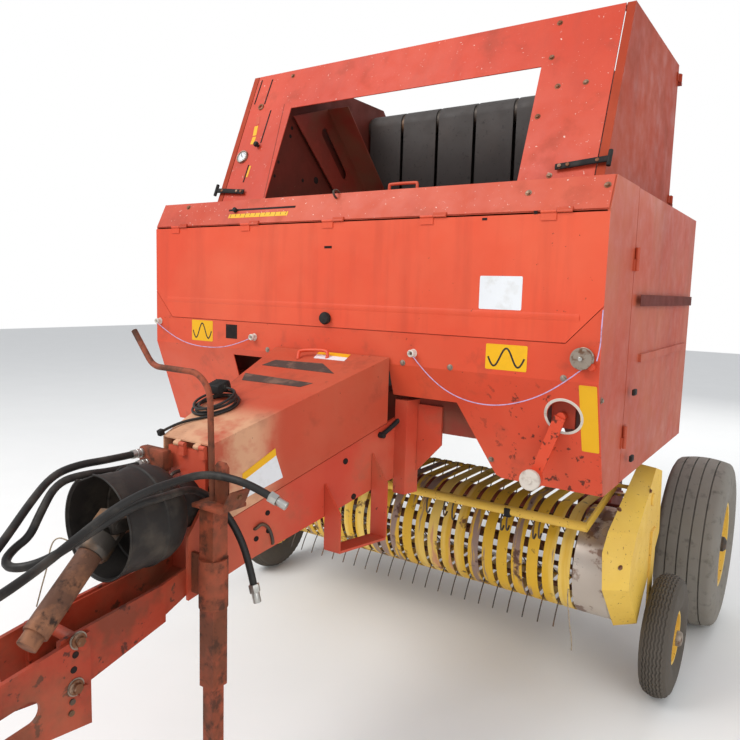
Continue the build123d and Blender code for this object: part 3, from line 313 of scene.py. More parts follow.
def finish(name, base, layers=(), roughness=0.5, metallic=0.0, grain=(60, 0.1), sheen=0.3, shade=0.86):
    # colour in layers over a base, each laid on where its noise passes a level
    material = bpy.data.materials.new(name)
    material.use_nodes = True
    tree = material.node_tree
    link = tree.links.new
    shader = tree.nodes["Principled BSDF"]
    shader.inputs["Metallic"].default_value = metallic
    shader.inputs["Specular IOR Level"].default_value = sheen
    tone = addNode(tree, "ShaderNodeMix", data_type="RGBA")
    light = colourOf(base)
    tone.inputs[6].default_value = light
    tone.inputs[7].default_value = tuple(c * shade for c in light[:3]) + (1.0,)
    link(noiseMask(tree, {"scale": 2.1, "low": 0.3, "high": 0.7}), tone.inputs[0])
    colour = tone.outputs[2]
    for layer in layers:
        over = addNode(tree, "ShaderNodeMix", data_type="RGBA")
        over.inputs[7].default_value = colourOf(layer["colour"])
        link(noiseMask(tree, layer), over.inputs[0])
        link(colour, over.inputs[6])
        colour = over.outputs[2]
    link(colour, shader.inputs["Base Color"])
    gloss = noiseMask(tree, {"scale": 14, "low": 0.3, "high": 0.7})
    spread = addNode(tree, "ShaderNodeMapRange", {
        "To Min": roughness - 0.1, "To Max": min(1.0, roughness + 0.14)})
    link(gloss, spread.inputs["Value"])
    link(spread.outputs["Result"], shader.inputs["Roughness"])
    bump = addNode(tree, "ShaderNodeBump", {"Strength": grain[1], "Distance": 0.002})
    link(noiseMask(tree, {"scale": grain[0], "low": 0.0, "high": 1.0}), bump.inputs["Height"])
    link(bump.outputs["Normal"], shader.inputs["Normal"])
    return material


rustChips = coat("5b2a18", 55, 0.69, 0.72, 0.9)
whiteSpecks = coat("e6cfc0", 95, 0.70, 0.74, 0.8)
dustFilm = coat("b98f6c", 3.5, 0.45, 0.85, 0.35)
fadePatch = coat("d9714f", 1.3, 0.42, 0.72, 0.45)
chipCluster = coat("4a2014", 34, 0.60, 0.64, 0.9)
runStreak = coat("a33a26", 16, 0.5, 0.8, 0.4, stretch=(1, 1, 0.08))
seamDirt = coat("6d3a2a", 7, 0.55, 0.85, 0.6)
lidWear = coat("cfa27e", 7, 0.32, 0.5, 0.85, zones=[("Y", frontY - 0.40, frontY - 0.52)])

# Reds, from the sunlit cover to the worn jack; the shield, door and wall reds are darkened copies of the
# paint, painted shade
coverRed = finish("coverRed", "d84c2e", [
    fadePatch, runStreak, {**rustChips, "zones": [("X", 0.15, 0.6)]}], 0.42)
apronRed = finish("apronRed", "cf482b", [
    fadePatch, {**chipCluster, "zones": [("X", 0.45, 0.75), ("Z", 1.29, 1.22)]}, rustChips,
    {**seamDirt, "scale": 11}], 0.45)
faceRed = finish("faceRed", "c23e24", [
    {**fadePatch, "colour": "cc5c40"}, runStreak, {**whiteSpecks, "scale": 80, "low": 0.66}, seamDirt], 0.45)
lipRed = finish("lipRed", "bb4229", [
    {**fadePatch, "colour": "cf6548", "amount": 0.7}, {**whiteSpecks, "low": 0.65}, seamDirt], 0.5)
# the doors', front corners' and tailgate sides' red is a darker copy of the paint as seen in shade: painted
# shade
doorShadeRed = finish("doorShadeRed", "b5492f", [
    {**fadePatch, "colour": "c8704c"}, {**runStreak, "colour": "8e3a26"}, dustFilm], 0.5)
tongueRed = finish("tongueRed", "c0422c", [
    fadePatch, {**seamDirt, "amount": 0.8}, {**rustChips, "scale": 40}, dustFilm], 0.5)
lidRed = finish("lidRed", "b8492f", [
    {**fadePatch, "colour": "b87a5c"}, lidWear, {**seamDirt, "amount": 0.8}, {**rustChips, "scale": 40}],
    0.55)
# the upper shields' red is the paint darkened to their shaded sides: painted shade
shieldShadeRed = finish("shieldShadeRed", "a23a20", [
    {**fadePatch, "colour": "a94c2e"}, {**runStreak, "colour": "82331f"}, {**seamDirt, "amount": 0.5}],
    0.6, sheen=0.15)
# a very dark red with broad darker patches, for the inner walls and the door recess: painted shade
wallShadeRed = finish("wallShadeRed", "6e2c22", [
    {**seamDirt, "colour": "3a2a22", "low": 0.4, "high": 0.75}, {**whiteSpecks, "colour": "8c6f5a"}],
    0.7, sheen=0.15)
innerRed = finish("innerRed", "8f3426", [
    {**seamDirt, "colour": "4a3226", "low": 0.4, "high": 0.75}, dustFilm,
    {**whiteSpecks, "colour": "9c7f68"}], 0.65)
hitchRed = finish("hitchRed", "a53a22", [
    coat("6d3420", 8, 0.45, 0.62, 0.8), {**chipCluster, "scale": 26}, dustFilm], 0.55)
wornRed = finish("wornRed", "9a4a30", [
    coat("6a3a25", 9, 0.38, 0.55, 0.95), coat("42291d", 28, 0.50, 0.64, 0.85)], 0.66)

# Yellows, steels and rubbers
yellowPaint = finish("yellowPaint", "e8bd4c", [
    coat("f0cd69", 2, 0.45, 0.7, 0.6), coat("7a4a1c", 85, 0.64, 0.68, 0.9), dustFilm], 0.5)
bandYellow = finish("bandYellow", "e0b032", [
    coat("eed07a", 1.4, 0.5, 0.62, 0.6, stretch=(9, 0.6, 0.6)),
    coat("8d7670", 1.3, 0.56, 0.6, 0.95, stretch=(11, 1.2, 1.2), shift=(3, 0, 0)),
    coat("54342a", 14, 0.6, 0.66, 0.9), coat("c07a6c", 2, 0.62, 0.68, 0.7, stretch=(7, 1, 1))], 0.5)
barkSteel = finish("barkSteel", "6b4a3a", [
    coat("8f6146", 20, 0.45, 0.65), coat("3a2a22", 35, 0.55, 0.7)], 0.6, 0.35)
darkSteel = finish("darkSteel", "57504a", [coat("7a5a40", 12, 0.5, 0.7)], 0.5, 0.7)
drumSteel = finish("drumSteel", "cfc3b6", [
    coat("e0b540", 7, 0.5, 0.54, zones=[("Z", 0.62, 0.70)]), coat("7a5848", 8, 0.54, 0.58, 0.85)], 0.34, 0.5)
rodSteel = finish("rodSteel", "d6d6d8", [], 0.16, 1.0, (80, 0.02))
beltRubber = finish("beltRubber", "4c4744", [
    coat("5a504a", 5, 0.5, 0.8, 0.5), coat("1d1b1b", 60, 0.6, 0.7, 0.5)], 0.6)
tyreRubber = finish("tyreRubber", "868077", [
    coat("7d766a", 6, 0.45, 0.75, 0.6), coat("39352f", 25, 0.55, 0.75, 0.6)], 0.8, 0.0, (120, 0.25))
gaugeRubber = finish("gaugeRubber", "575048", [coat("645c50", 14, 0.5, 0.75, 0.5)], 0.8, 0.0, (140, 0.25))
dustyPlastic = finish("dustyPlastic", "272320", [
    coat("7d7162", 4, 0.5, 0.8, 0.55), coat("191716", 18, 0.58, 0.7, 0.7)], 0.6)
hoseRubber = finish("hoseRubber", "23211f", [coat("5b544b", 12, 0.5, 0.75, 0.6)], 0.5)
blackRubber = finish("blackRubber", "1d1b1a", [coat("4a443c", 15, 0.5, 0.8, 0.6)], 0.7)
platedSteel = finish("platedSteel", "b9b7b1", [coat("7c6a55", 40, 0.58, 0.7, 0.7)], 0.3, 0.9)
rustyBolt = finish("rustyBolt", "7b5138", [coat("a08a76", 30, 0.5, 0.65)], 0.55, 0.5)
greyBolt = finish("greyBolt", "9a8d7f", [coat("6b4e3b", 45, 0.52, 0.65)], 0.42, 0.7)

# Labels, small fittings and twine
labelWhite = finish("labelWhite", "dfe2e4", [coat("b9b6ae", 20, 0.55, 0.75, 0.5)], 0.35, 0.0, (20, 0.02))
labelYellow = finish("labelYellow", "e5ac12", [coat("c8921a", 12, 0.55, 0.75, 0.5)], 0.38, 0.0, (20, 0.02))
labelBlack = finish("labelBlack", "2b2622", [coat("5a4a3a", 40, 0.6, 0.7, 0.6)], 0.45, 0.0, (20, 0.02))
# near-black finish laid on flat where holes and slots are: painted shade standing in for the dark inside them
holeShade = finish("holeShade", "1c100d", [coat("3a2019", 30, 0.55, 0.75)], 0.8)
ceramic = finish("ceramic", "d8d3c8", [coat("8a8074", 60, 0.55, 0.7, 0.7)], 0.25)
rollerWhite = finish("rollerWhite", "cfc6ba", [coat("8c7766", 30, 0.5, 0.7, 0.7)], 0.45)
twineLilac = finish("twineLilac", "b9a5c9", [coat("8d6f80", 60, 0.5, 0.7)], 0.7)
twineTan = finish("twineTan", "a4937c", [coat("6f604c", 80, 0.5, 0.65)], 0.85)
antiSlip = finish("antiSlip", "4a3c36", [coat("7d5f50", 18, 0.5, 0.66, 0.8)], 0.85, 0.0, (260, 0.5))

print("finishes made")

# Cords: the two hydraulic hoses, the cable coiled on the lid, and the twine
hoseRadius = 0.010
hoses = {
    "hoseLong": {"length": 1.6415, "route": [
        (-0.140, -0.714, 1.052), (-0.140, -0.795, 1.052), (-0.146, -0.872, 1.054), (-0.144, -0.945, 1.042),
        (-0.098, -1.030, 1.000), (-0.040, -1.115, 0.958), (0.022, -1.200, 0.928), (0.048, -1.262, 0.916),
        (0.052, -1.313, 0.911), (0.079, -1.350, 0.909), (0.122, -1.364, 0.910), (0.165, -1.350, 0.914),
        (0.192, -1.313, 0.922), (0.190, -1.258, 0.932), (0.172, -1.195, 0.942), (0.146, -1.122, 0.954),
        (0.126, -1.045, 0.976), (0.134, -0.960, 1.020), (0.152, -0.880, 1.046), (0.158, -0.800, 1.052),
        (0.170, -0.748, 1.057), (0.206, -0.725, 1.058), (0.262, -0.712, 1.054), (0.312, -0.697, 1.041),
        (0.350, -0.685, 1.023)]},
    "hoseShort": {"length": 1.3397, "route": [
        (-0.116, -0.714, 1.026), (-0.116, -0.795, 1.026), (-0.117, -0.868, 1.034), (-0.117, -0.950, 1.030),
        (-0.074, -1.020, 0.976), (-0.044, -1.062, 0.940), (-0.039, -1.102, 0.925), (-0.013, -1.137, 0.915),
        (0.028, -1.150, 0.913), (0.069, -1.137, 0.920), (0.095, -1.102, 0.932), (0.096, -1.040, 0.950),
        (0.118, -0.965, 0.988), (0.136, -0.900, 1.014), (0.138, -0.830, 1.014), (0.132, -0.772, 1.014),
        (0.120, -0.718, 1.004), (0.122, -0.672, 0.975), (0.142, -0.634, 0.930), (0.172, -0.612, 0.870),
        (0.202, -0.604, 0.800), (0.220, -0.602, 0.735)]},
}


def cordCurve(name, points, radius, material, body):
    piece = curveThrough(name, points, radius)
    piece.data.materials.append(material)
    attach(piece, body)
    return piece


for name, hose in hoses.items():
    route = [at(*p) for p in hose["route"]]
    line = cordCurve(name, route, hoseRadius, hoseRubber, "frame")
    heading = (route[-1] - route[-2]).normalized()
    nut = rod("nut", route[-1], route[-1] + heading * 0.022, 0.015, 6, 0.001)
    nose = rod("nose", route[-1] + heading * 0.022, route[-1] + heading * 0.050, 0.011, 24, 0.002)
    coupler = dress(join([nut, nose], name + "Coupler"), platedSteel)

# Hose block on a pad on the front plate, with a crimped ferrule for each hose
blockBody = block("blockBody", at(-0.156, -0.680, 1.008), at(-0.050, -0.646, 1.070), 0.008)
blockPad = block("blockPad", at(-0.077, -0.648, 1.016), at(-0.055, -0.638, 1.056), 0.002)
crimps = [(0, 0.0), (0, 0.013), (0.006, 0.013), (0.007, 0.0115), (0.012, 0.0115), (0.013, 0.013),
          (0.019, 0.013), (0.020, 0.0115), (0.025, 0.0115), (0.026, 0.013), (0.034, 0.0125), (0.034, 0.0)]
ferrules = [spun("ferrule", crimps, at(x, -0.680, z), 24, forward, (0, 0, 1), closed=False)
            for x, z in ((-0.140, 1.052), (-0.116, 1.026))]
dress(join([blockBody, blockPad], "hoseBlock"), wornRed)
dress(join(ferrules, "hoseFerrules"), platedSteel)

# The lid's plane: places on it are given sideways, up the slope and above it
lidLean = math.radians(18.0)
lidNormal = Vector((0, -math.sin(lidLean), math.cos(lidLean)))


def onLid(u, v, lift=0.0):
    return at(-0.082 + u, -0.452 + v * math.cos(lidLean), 1.1631 + v * math.sin(lidLean)) + lidNormal * lift


def layOnLid(piece, place):
    piece.data.transform(Matrix.Translation(place) @ Matrix.Rotation(lidLean, 4, "X"))
    return dress(piece, blackRubber, "tongue_cover_body")


# Each turn of the coil has its reach, its height on the lid and its climb from step to step
cable = {"length": 1.858, "radius": 0.004, "insideShare": 0.924, "wander": 0.0016,
         "start": [(-0.022, -0.190, 0.008), (-0.022, -0.152, 0.007), (-0.004, -0.112, 0.006),
                   (0.030, -0.080, 0.005)],
         "turns": [(0.071, 0.0050, 0.0), (0.060, 0.0052, 0.0), (0.050, 0.0140, 0.0004), (0.064, 0.0205, 0.0)],
         "end": [(0.046, -0.058, 0.029), (0.070, -0.022, 0.033), (0.066, 0.026, 0.037), (0.036, 0.049, 0.039),
                 (0.004, 0.050, 0.039)]}
cableRoute = [onLid(*p) for p in cable["start"]]
for turn, (reach, lift, climb) in enumerate(cable["turns"]):
    for step in range(8):
        angle = math.radians(45 * step - 45)
        reachHere = (reach + cable["wander"] * math.sin(2.3 * (8 * turn + step))) / cable["insideShare"]
        u, v = reachHere * math.cos(angle), reachHere * math.sin(angle)
        cableRoute.append(onLid(u, v, lift + climb * step))
cableRoute += [onLid(*p) for p in cable["end"]]
cableLine = cordCurve("cable", cableRoute, cable["radius"], hoseRubber, "tongue_cover_body")
plugParts = [block("plugShell", (-0.025, -0.028, 0.0), (0.025, 0.028, 0.030), 0.006),
             rod("plugCollar", (0.023, 0, 0.015), (0.031, 0, 0.015), 0.009, 20, 0.001)]
for y in (-0.016, -0.008, 0.0, 0.008, 0.016):
    plugParts.append(block("plugRib", (-0.0262, y - 0.002, 0.003), (0.0262, y + 0.002, 0.0316), 0.001))
plug = layOnLid(join(plugParts, "cablePlug"), onLid(-0.027, 0.050, 0.0242))
layOnLid(block("cableClip", (-0.008, -0.008, -0.001), (0.008, 0.008, 0.016), 0.002), onLid(-0.022, -0.198))

# Twine under the apron and up to the cover's edge, a frayed end by the reel, and the tie round the hoses:
# its finish, body, radius, far end, lay and route
twines = {
    "twineRoller": (twineLilac, "frame", 0.0016, "object", "hanging", [
        (0.898, -0.020, 1.340), (0.84, -0.020, 1.285), (0.74, -0.020, 1.222), (0.62, -0.020, 1.190),
        (0.50, -0.020, 1.205), (0.40, -0.019, 1.262), (0.345, -0.016, 1.318)]),
    "twineGuide": (twineLilac, "frame", 0.0016, "object", "taut", [
        (0.922, -0.022, 1.352), (0.928, -0.016, 1.390), (0.926, -0.012, 1.440), (0.925, -0.004, 1.490)]),
    "twineLeft": (twineLilac, "frame", 0.0016, "object", "hanging", [
        (-0.905, -0.016, 1.366), (-0.83, -0.018, 1.325), (-0.70, -0.018, 1.285), (-0.54, -0.018, 1.283),
        (-0.43, -0.018, 1.308), (-0.375, -0.016, 1.330)]),
    "twineReel": (twineTan, "pickup", 0.002, "bare", "hanging", [
        (0.738, 0.470, 0.480), (0.742, 0.452, 0.450), (0.752, 0.448, 0.400), (0.757, 0.452, 0.350),
        (0.770, 0.448, 0.300), (0.772, 0.440, 0.270)]),
    "twineTie": (twineTan, "frame", 0.0016, "bare", "hanging", [
        (0.112, -1.058, 0.962), (0.096, -1.066, 0.972), (0.066, -1.068, 0.962), (0.040, -1.064, 0.930),
        (0.020, -1.060, 0.880), (-0.010, -1.056, 0.830), (-0.028, -1.060, 0.775)]),
}


def lengthOf(line):
    bare = line.copy()
    bare.data = line.data.copy()
    bare.data.bevel_depth = 0
    bare.data.resolution_u = 12
    mesh = bpy.data.meshes.new_from_object(bare)
    bpy.data.objects.remove(bare)
    ends = [[mesh.vertices[i].co for i in edge.vertices] for edge in mesh.edges]
    return sum((b - a).length for a, b in ends)


for name, (look, body, radius, end, lay, places) in twines.items():
    route = [at(*p) for p in places]
    line = cordCurve(name, route, radius, look, body)
    lengthOf(line)
print("cords laid")

# The CAD nodes and their finishes
nodeFinishes = {
    coverRed: "front_cover",
    apronRed: "apron twine_arm",
    faceRed: "upper_face",
    lipRed: "twine_box",
    shieldShadeRed: "upper_shield_left upper_shield_right",
    doorShadeRed: "side_door_left side_door_right front_corners tailgate_sides",
    lidRed: "tongue_cover",
    tongueRed: "tongue_frame frame_posts skid_bracket",
    hitchRed: "hitch tongue_beam",
    wallShadeRed: "side_walls",
    innerRed: "cross_members take_up_arms axle tailgate_cross cylinder_barrel_left cylinder_barrel_right",
    wornRed: "jack_body jack_leg hose_stand",
    yellowPaint: "rim_left rim_right gauge_rim_left gauge_rim_right drive_guard gauge_arms windguard "
                 "windguard_lugs",
    bandYellow: "stripper_bands",
    drumSteel: "pickup_frame",
    barkSteel: "pto_shaft tine_reel",
    darkSteel: "front_rollers rear_rollers gearbox",
    rodSteel: "cylinder_rod_left cylinder_rod_right",
    beltRubber: "front_belts rear_belts",
    tyreRubber: "tyre_left tyre_right",
    gaugeRubber: "gauge_tyre_left gauge_tyre_right",
    dustyPlastic: "pto_shield",
}
for material, names in nodeFinishes.items():
    for name in names.split():
        nodes[name].data.materials.clear()
        nodes[name].data.materials.append(material)


# Bolt heads on washers: modelled once, then copied to their places
def hexBolt(name, radius, height, washer):
    clearSelection()
    bpy.ops.mesh.primitive_cylinder_add(vertices=6, radius=radius, depth=height,
                                        location=(0, 0, height / 2 + washer))
    head = bpy.context.object
    placeInMesh()
    pickFaces(head, lambda centre, normal: normal.z > 0.9)
    bpy.ops.mesh.inset(thickness=radius * 0.18)
    bpy.ops.transform.translate(value=(0, 0, height * 0.12))
    settle(head, name)
    ring = rod("washer", (0, 0, 0), (0, 0, washer), radius * 1.5, 24, washer * 0.3)
    return join([head, ring], name)


def boltGroup(name, material, master, seats, body="frame"):
    # a seat has its place, the way its surface faces and a turn
    copies = [copyTo(master, name + "Copy", seated(*seat)) for seat in seats]
    return dress(join(copies, name), material, body)


def panel(y, z, rise, depth):
    # places on a sloped panel that goes back by depth over its rise, and the way it faces
    def place(x, height):
        return at(x, y + depth * (height - z) / rise, height)
    return place, Vector((0, -rise, depth)).normalized()


smallBolt = hexBolt("smallBolt", 0.0065, 0.0045, 0.0012)
largeBolt = hexBolt("largeBolt", 0.012, 0.009, 0.003)
onFace, faceNormal = panel(0.239, 1.855, 0.612, 0.242)
onLip, lipNormal = panel(0, 1.761, 0.094, 0.046)
onLean, leanNormal = panel(0, 1.286, 0.346, -0.121)

# Front panels' bolts: along the seam, low on the apron, on the lip and on the upper face
apronSeats = [(at(x, 0, 1.294), forward, 0.3) for x in (-0.294, 0.297, 0.469, 0.827)]
apronSeats.append((onLean(0.578, 1.001), leanNormal, 0.1))
lipSpots = ((-0.768, 1.838), (0.684, 1.815), (0.905, 1.825))
faceSpots = ((0.625, 2.206), (0.717, 2.206), (0.658, 1.90), (0.587, 2.44), (0.583, 2.315), (0.577, 2.107),
             (-0.595, 2.44))
boltGroup("apronBolts", greyBolt, smallBolt, apronSeats)
boltGroup("lipBolts", rustyBolt, smallBolt, [(onLip(*spot), lipNormal, 0.2) for spot in lipSpots])
boltGroup("faceBolts", rustyBolt, smallBolt, [(onFace(*spot), faceNormal, 0.4) for spot in faceSpots])
boltGroup("cornerBolt", greyBolt, smallBolt, [(at(0.925, 0.038, 1.237), (1, 0, 0), 0.0)])

# Stickers are blank; the two wave signs and the yellow strip are plain patterns.
# Each has its middle, width and height, the way it faces, its finish and its body
labelThickness = 0.0006
flatLabels = {
    "lotSticker": (at(0.624, 0, 1.528), (0.134, 0.098), forward, labelWhite, "front_cover_body"),
    "yellowStrip": (onLean(0.8955, 1.179), (0.05, 0.212), leanNormal, labelYellow, "frame"),
    "waveSignLeft": (at(0.652, 0, 1.339), (0.13, 0.076), forward, labelYellow, "frame"),
    "waveSignRight": (at(-0.647, 0, 1.346), (0.12, 0.082), forward, labelYellow, "frame"),
}


def waveStroke(name, middle, width, height):
    wave = []
    for i in range(25):
        t = i / 24
        rise = -0.36 * height * math.sin(t * 3 * math.pi)
        wave.append(middle + Vector((0.88 * width * (t - 0.5), -1.2 * labelThickness, rise)))
    stroke = wire(name, wave, 0.0065, 2)
    flatten = Matrix.Translation(middle) @ Matrix.Diagonal((1, 0.1, 1, 1)) @ Matrix.Translation(-middle)
    stroke.data.transform(flatten)
    dress(stroke, labelBlack)


for name, (middle, (width, height), normal, look, body) in flatLabels.items():
    clearSelection()
    bpy.ops.mesh.primitive_plane_add(size=1)
    piece = bpy.context.object
    piece.scale = (width, height, 1)
    placeInMesh()
    editAll(piece, "VERT")
    bpy.ops.mesh.bevel(offset=0.004, segments=3, affect="VERTICES")
    bpy.ops.mesh.select_all(action="SELECT")
    bpy.ops.mesh.extrude_region_move(TRANSFORM_OT_translate={"value": (0, 0, labelThickness)})
    settle(piece, name)
    piece.data.transform(seated(middle, normal))
    dress(piece, look, body)
    if name.startswith("waveSign"):
        waveStroke(name + "Stroke", middle, width, height)
print("panels dressed")

# Big wheels: a tyre with a rounded crown and five ribs, and a bolted rim with a dished disc.
# Wall pairs are (share of the half width, radius)
wheel = {"steps": 72, "middle": 0.9925, "halfWidth": 0.1275, "shoulder": 0.8, "crownDrop": 0.014,
         "grooves": (-0.27, -0.09, 0.09, 0.27), "grooveHalf": 0.003, "grooveDepth": 0.010,
         "wall": [(0.84, 0.1905), (0.92, 0.208), (0.99, 0.245), (1, 0.285), (0.985, 0.325), (0.94, 0.352),
                  (0.88, 0.368)],
         "barrel": [(-0.112, 0.206), (-0.106, 0.206), (-0.104, 0.190), (-0.050, 0.186), (-0.040, 0.172),
                    (0.040, 0.172), (0.050, 0.186), (0.104, 0.190), (0.106, 0.206), (0.112, 0.206),
                    (0.109, 0.184), (0.054, 0.180), (0.043, 0.167), (-0.043, 0.167), (-0.054, 0.180),
                    (-0.109, 0.184)],
         "disc": [(-0.040, 0.169), (-0.012, 0.160), (0.004, 0.120), (0.012, 0.100), (0.012, 0.054),
                  (0.018, 0.054), (0.018, 0.102), (0.010, 0.124), (-0.006, 0.164), (-0.034, 0.173)],
         "hub": [(-0.088, 0.031), (-0.088, 0.055), (0.030, 0.055), (0.034, 0.050), (0.040, 0.036),
                 (0.040, 0.031)],
         "cap": [(0.038, 0.0), (0.038, 0.036), (0.056, 0.034), (0.066, 0.022), (0.068, 0.0)],
         "nuts": 6, "nutReach": 0.078}
for side, mirror in mirrors.items():
    low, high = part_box("tyre_" + side)
    hub = (low + high) / 2
    outer = (high.z - low.z) / 2
    body = "wheel_" + side
    halfWidth = wheel["halfWidth"]
    shoulder = wheel["shoulder"] * halfWidth

    def crown(x):
        return outer - wheel["crownDrop"] * (x / shoulder) ** 2

    wall = [(share * halfWidth, radius) for share, radius in wheel["wall"]]
    edges = [-shoulder]
    for place in wheel["grooves"]:
        middle = place * 2 * halfWidth
        edges += [middle - wheel["grooveHalf"], middle + wheel["grooveHalf"]]
    edges.append(shoulder)
    profile = [(-x, radius) for x, radius in wall]
    for first, last in zip(edges[::2], edges[1::2]):
        for t in (0, 0.33, 0.66, 1):
            x = first + (last - first) * t
            profile.append((x, crown(x)))
        if last < shoulder:
            deep = crown(last) - wheel["grooveDepth"]
            profile += [(last + 0.001, deep), (last + 2 * wheel["grooveHalf"] - 0.001, deep)]
    profile += reversed(wall)
    centre = Vector((mirror * wheel["middle"], hub.y, hub.z))
    tyre = spun("treadTyre_" + side, profile, centre, wheel["steps"], smooth=40)
    dress(tyre, tyreRubber, body, "tyre_" + side)

    outward = (mirror, 0, 0)
    discPlace = Vector((hub.x + mirror * 0.008, hub.y, hub.z))
    barrel = spun("barrel", wheel["barrel"], centre, 64)
    disc = spun("disc", wheel["disc"], discPlace, 64, outward)
    hubBody = spun("hubBody", wheel["hub"], discPlace, 40, outward)
    hubCap = spun("hubCap", wheel["cap"], discPlace, 40, outward, closed=False)
    dress(join([barrel, disc], "wheelRim_" + side), yellowPaint, body, "rim_" + side)
    dress(join([hubBody, hubCap], "wheelHub_" + side), darkSteel, body)
    nutSeats = []
    for i in range(wheel["nuts"]):
        angle = math.radians(360 / wheel["nuts"] * i + 15)
        y, z = wheel["nutReach"] * math.cos(angle), wheel["nutReach"] * math.sin(angle)
        nutSeats.append((discPlace + Vector((mirror * 0.018, y, z)), outward, 0.4 * i))
    boltGroup("wheelNuts_" + side, rustyBolt, largeBolt, nutSeats, body)

# Gauge wheels: a tyre with fine zigzag ribs, made by moving every second ring sideways, and a hub cap
gauge = {"steps": 96, "ribs": 7, "ribDepth": 0.004, "ribGap": 0.0022, "swing": 0.0022, "tread": 0.74,
         "crownDrop": 0.0145, "treadFrom": 0.209,
         "wall": [(0.70, 0.1035), (0.9, 0.12), (0.99, 0.15), (0.97, 0.185), (0.86, 0.208)],
         "cap": [(-0.001, 0), (-0.001, 0.029), (0.010, 0.029), (0.018, 0.024), (0.021, 0.012), (0.021, 0)]}
for side, mirror in mirrors.items():
    low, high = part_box("gauge_tyre_" + side)
    centre = (low + high) / 2
    halfWidth, outer = (high.x - low.x) / 2, (high.z - low.z) / 2
    wall = [(share * halfWidth, radius) for share, radius in gauge["wall"]]
    profile = [(-x, radius) for x, radius in wall]
    treadHalf = gauge["tread"] * halfWidth
    pitch = 2 * treadHalf / gauge["ribs"]
    for i in range(gauge["ribs"]):
        first = -treadHalf + pitch * i + gauge["ribGap"]
        last = -treadHalf + pitch * (i + 1) - gauge["ribGap"]
        deep = gauge["ribDepth"]
        for x, drop in ((first, deep), (first + 0.0008, 0), (last - 0.0008, 0), (last, deep)):
            profile.append((x, outer - gauge["crownDrop"] * (x / treadHalf) ** 2 - drop - 0.0004))
    profile += reversed(wall)
    tyre = spun("treadGaugeTyre_" + side, profile, centre, gauge["steps"], smooth=30)
    for vertex in tyre.data.vertices:
        offset = vertex.co - centre
        step = round(math.atan2(offset.z, offset.y) / (2 * math.pi) * gauge["steps"])
        if math.hypot(offset.y, offset.z) > gauge["treadFrom"]:
            vertex.co.x += gauge["swing"] * (1 if step % 2 else -1)
    dress(tyre, gaugeRubber, "gauge_wheel_" + side, "gauge_tyre_" + side)
    capFoot = strike("gauge_rim_" + side, centre + Vector((mirror * 0.3, 0.024, 0)), (-mirror, 0, 0))[0].x
    capPlace = (capFoot, centre.y, centre.z)
    hubCap = spun("gaugeHubCap_" + side, gauge["cap"], capPlace, 36, (mirror, 0, 0), closed=False)
    dress(hubCap, greyBolt, "gauge_wheel_" + side)
print("tyres done")

# Slots and marks on the sloped face; the slots are near-black strips and the fold a darker line, both painted
# shade: top, foot, width, finish and, for the fold, thickness
faceMarks = {
    "slotA": ((-0.779, 2.449), (-0.783, 2.335), 0.007, holeShade),
    "slotB": ((-0.715, 2.443), (-0.720, 2.327), 0.007, holeShade),
    "slotC": ((-0.669, 2.292), (-0.672, 2.143), 0.007, holeShade),
    "slotD": ((-0.705, 2.047), (-0.707, 1.970), 0.007, holeShade),
    "slotScale": ((-0.694, 2.042), (-0.696, 1.992), 0.010, labelYellow),
    "tagYellow": ((-0.729, 2.226), (-0.724, 2.182), 0.020, labelYellow),
    "tagLow": ((-0.7215, 2.176), (-0.724, 2.142), 0.020, labelYellow),
    # the fold is a thin strip of darker red on the face: painted shade along the crease
    "faceFoldShade": ((-0.598, 2.31), (-0.559, 1.894), 0.003, innerRed, 0.0006),
}
for name, (top, foot, width, look, *thick) in faceMarks.items():
    dress(strip(name, onFace(*top), onFace(*foot), width, faceNormal, *thick), look)
tagRed = strip("tagRed", onFace(-0.7356, 2.270), onFace(-0.724, 2.232), 0.020, faceNormal)
dress(tagRed, lipRed)
bushRing = [(0, 0.007), (0.005, 0.007), (0.006, 0.009), (0.005, 0.014), (0, 0.015)]
dress(ringOn("bushRing", bushRing, onFace(-0.735, 2.315), faceNormal, 24), rustyBolt)
knob = [(-0.001, 0), (-0.001, 0.006), (0.008, 0.006), (0.010, 0.011), (0.018, 0.012), (0.024, 0.009),
        (0.026, 0)]
dress(ringOn("slotKnob", knob, onFace(-0.681, 2.130), faceNormal, 24, closed=False), blackRubber)

# Dial: bezel, white face, twelve ticks and a needle
dialPlace = onFace(-0.756, 2.086)
dialFront = dialPlace + faceNormal * 0.005
dialRight = Vector((1, 0, 0))
dialUp = faceNormal.cross(dialRight)
bezel = [(-0.001, 0.023), (0.006, 0.023), (0.009, 0.025), (0.009, 0.028), (0.005, 0.030), (-0.001, 0.030)]
dress(ringOn("dialBezel", bezel, dialPlace, faceNormal, 40), greyBolt)
dress(rod("dialFace", dialPlace, dialFront, 0.0235, 40, 0), labelWhite)
needle = (dialUp * 0.8 - dialRight * 0.6) * 0.015
dialMarks = [strip("needle", dialFront - needle * 0.25, dialFront + needle, 0.0024, faceNormal, 0.0014)]
for i in range(12):
    angle = math.radians(30 * i)
    spoke = dialRight * math.cos(angle) + dialUp * math.sin(angle)
    dialMarks.append(strip("tick", dialFront + spoke * 0.016, dialFront + spoke * 0.021, 0.0016, faceNormal))
dress(join(dialMarks, "dialMarks"), labelBlack)

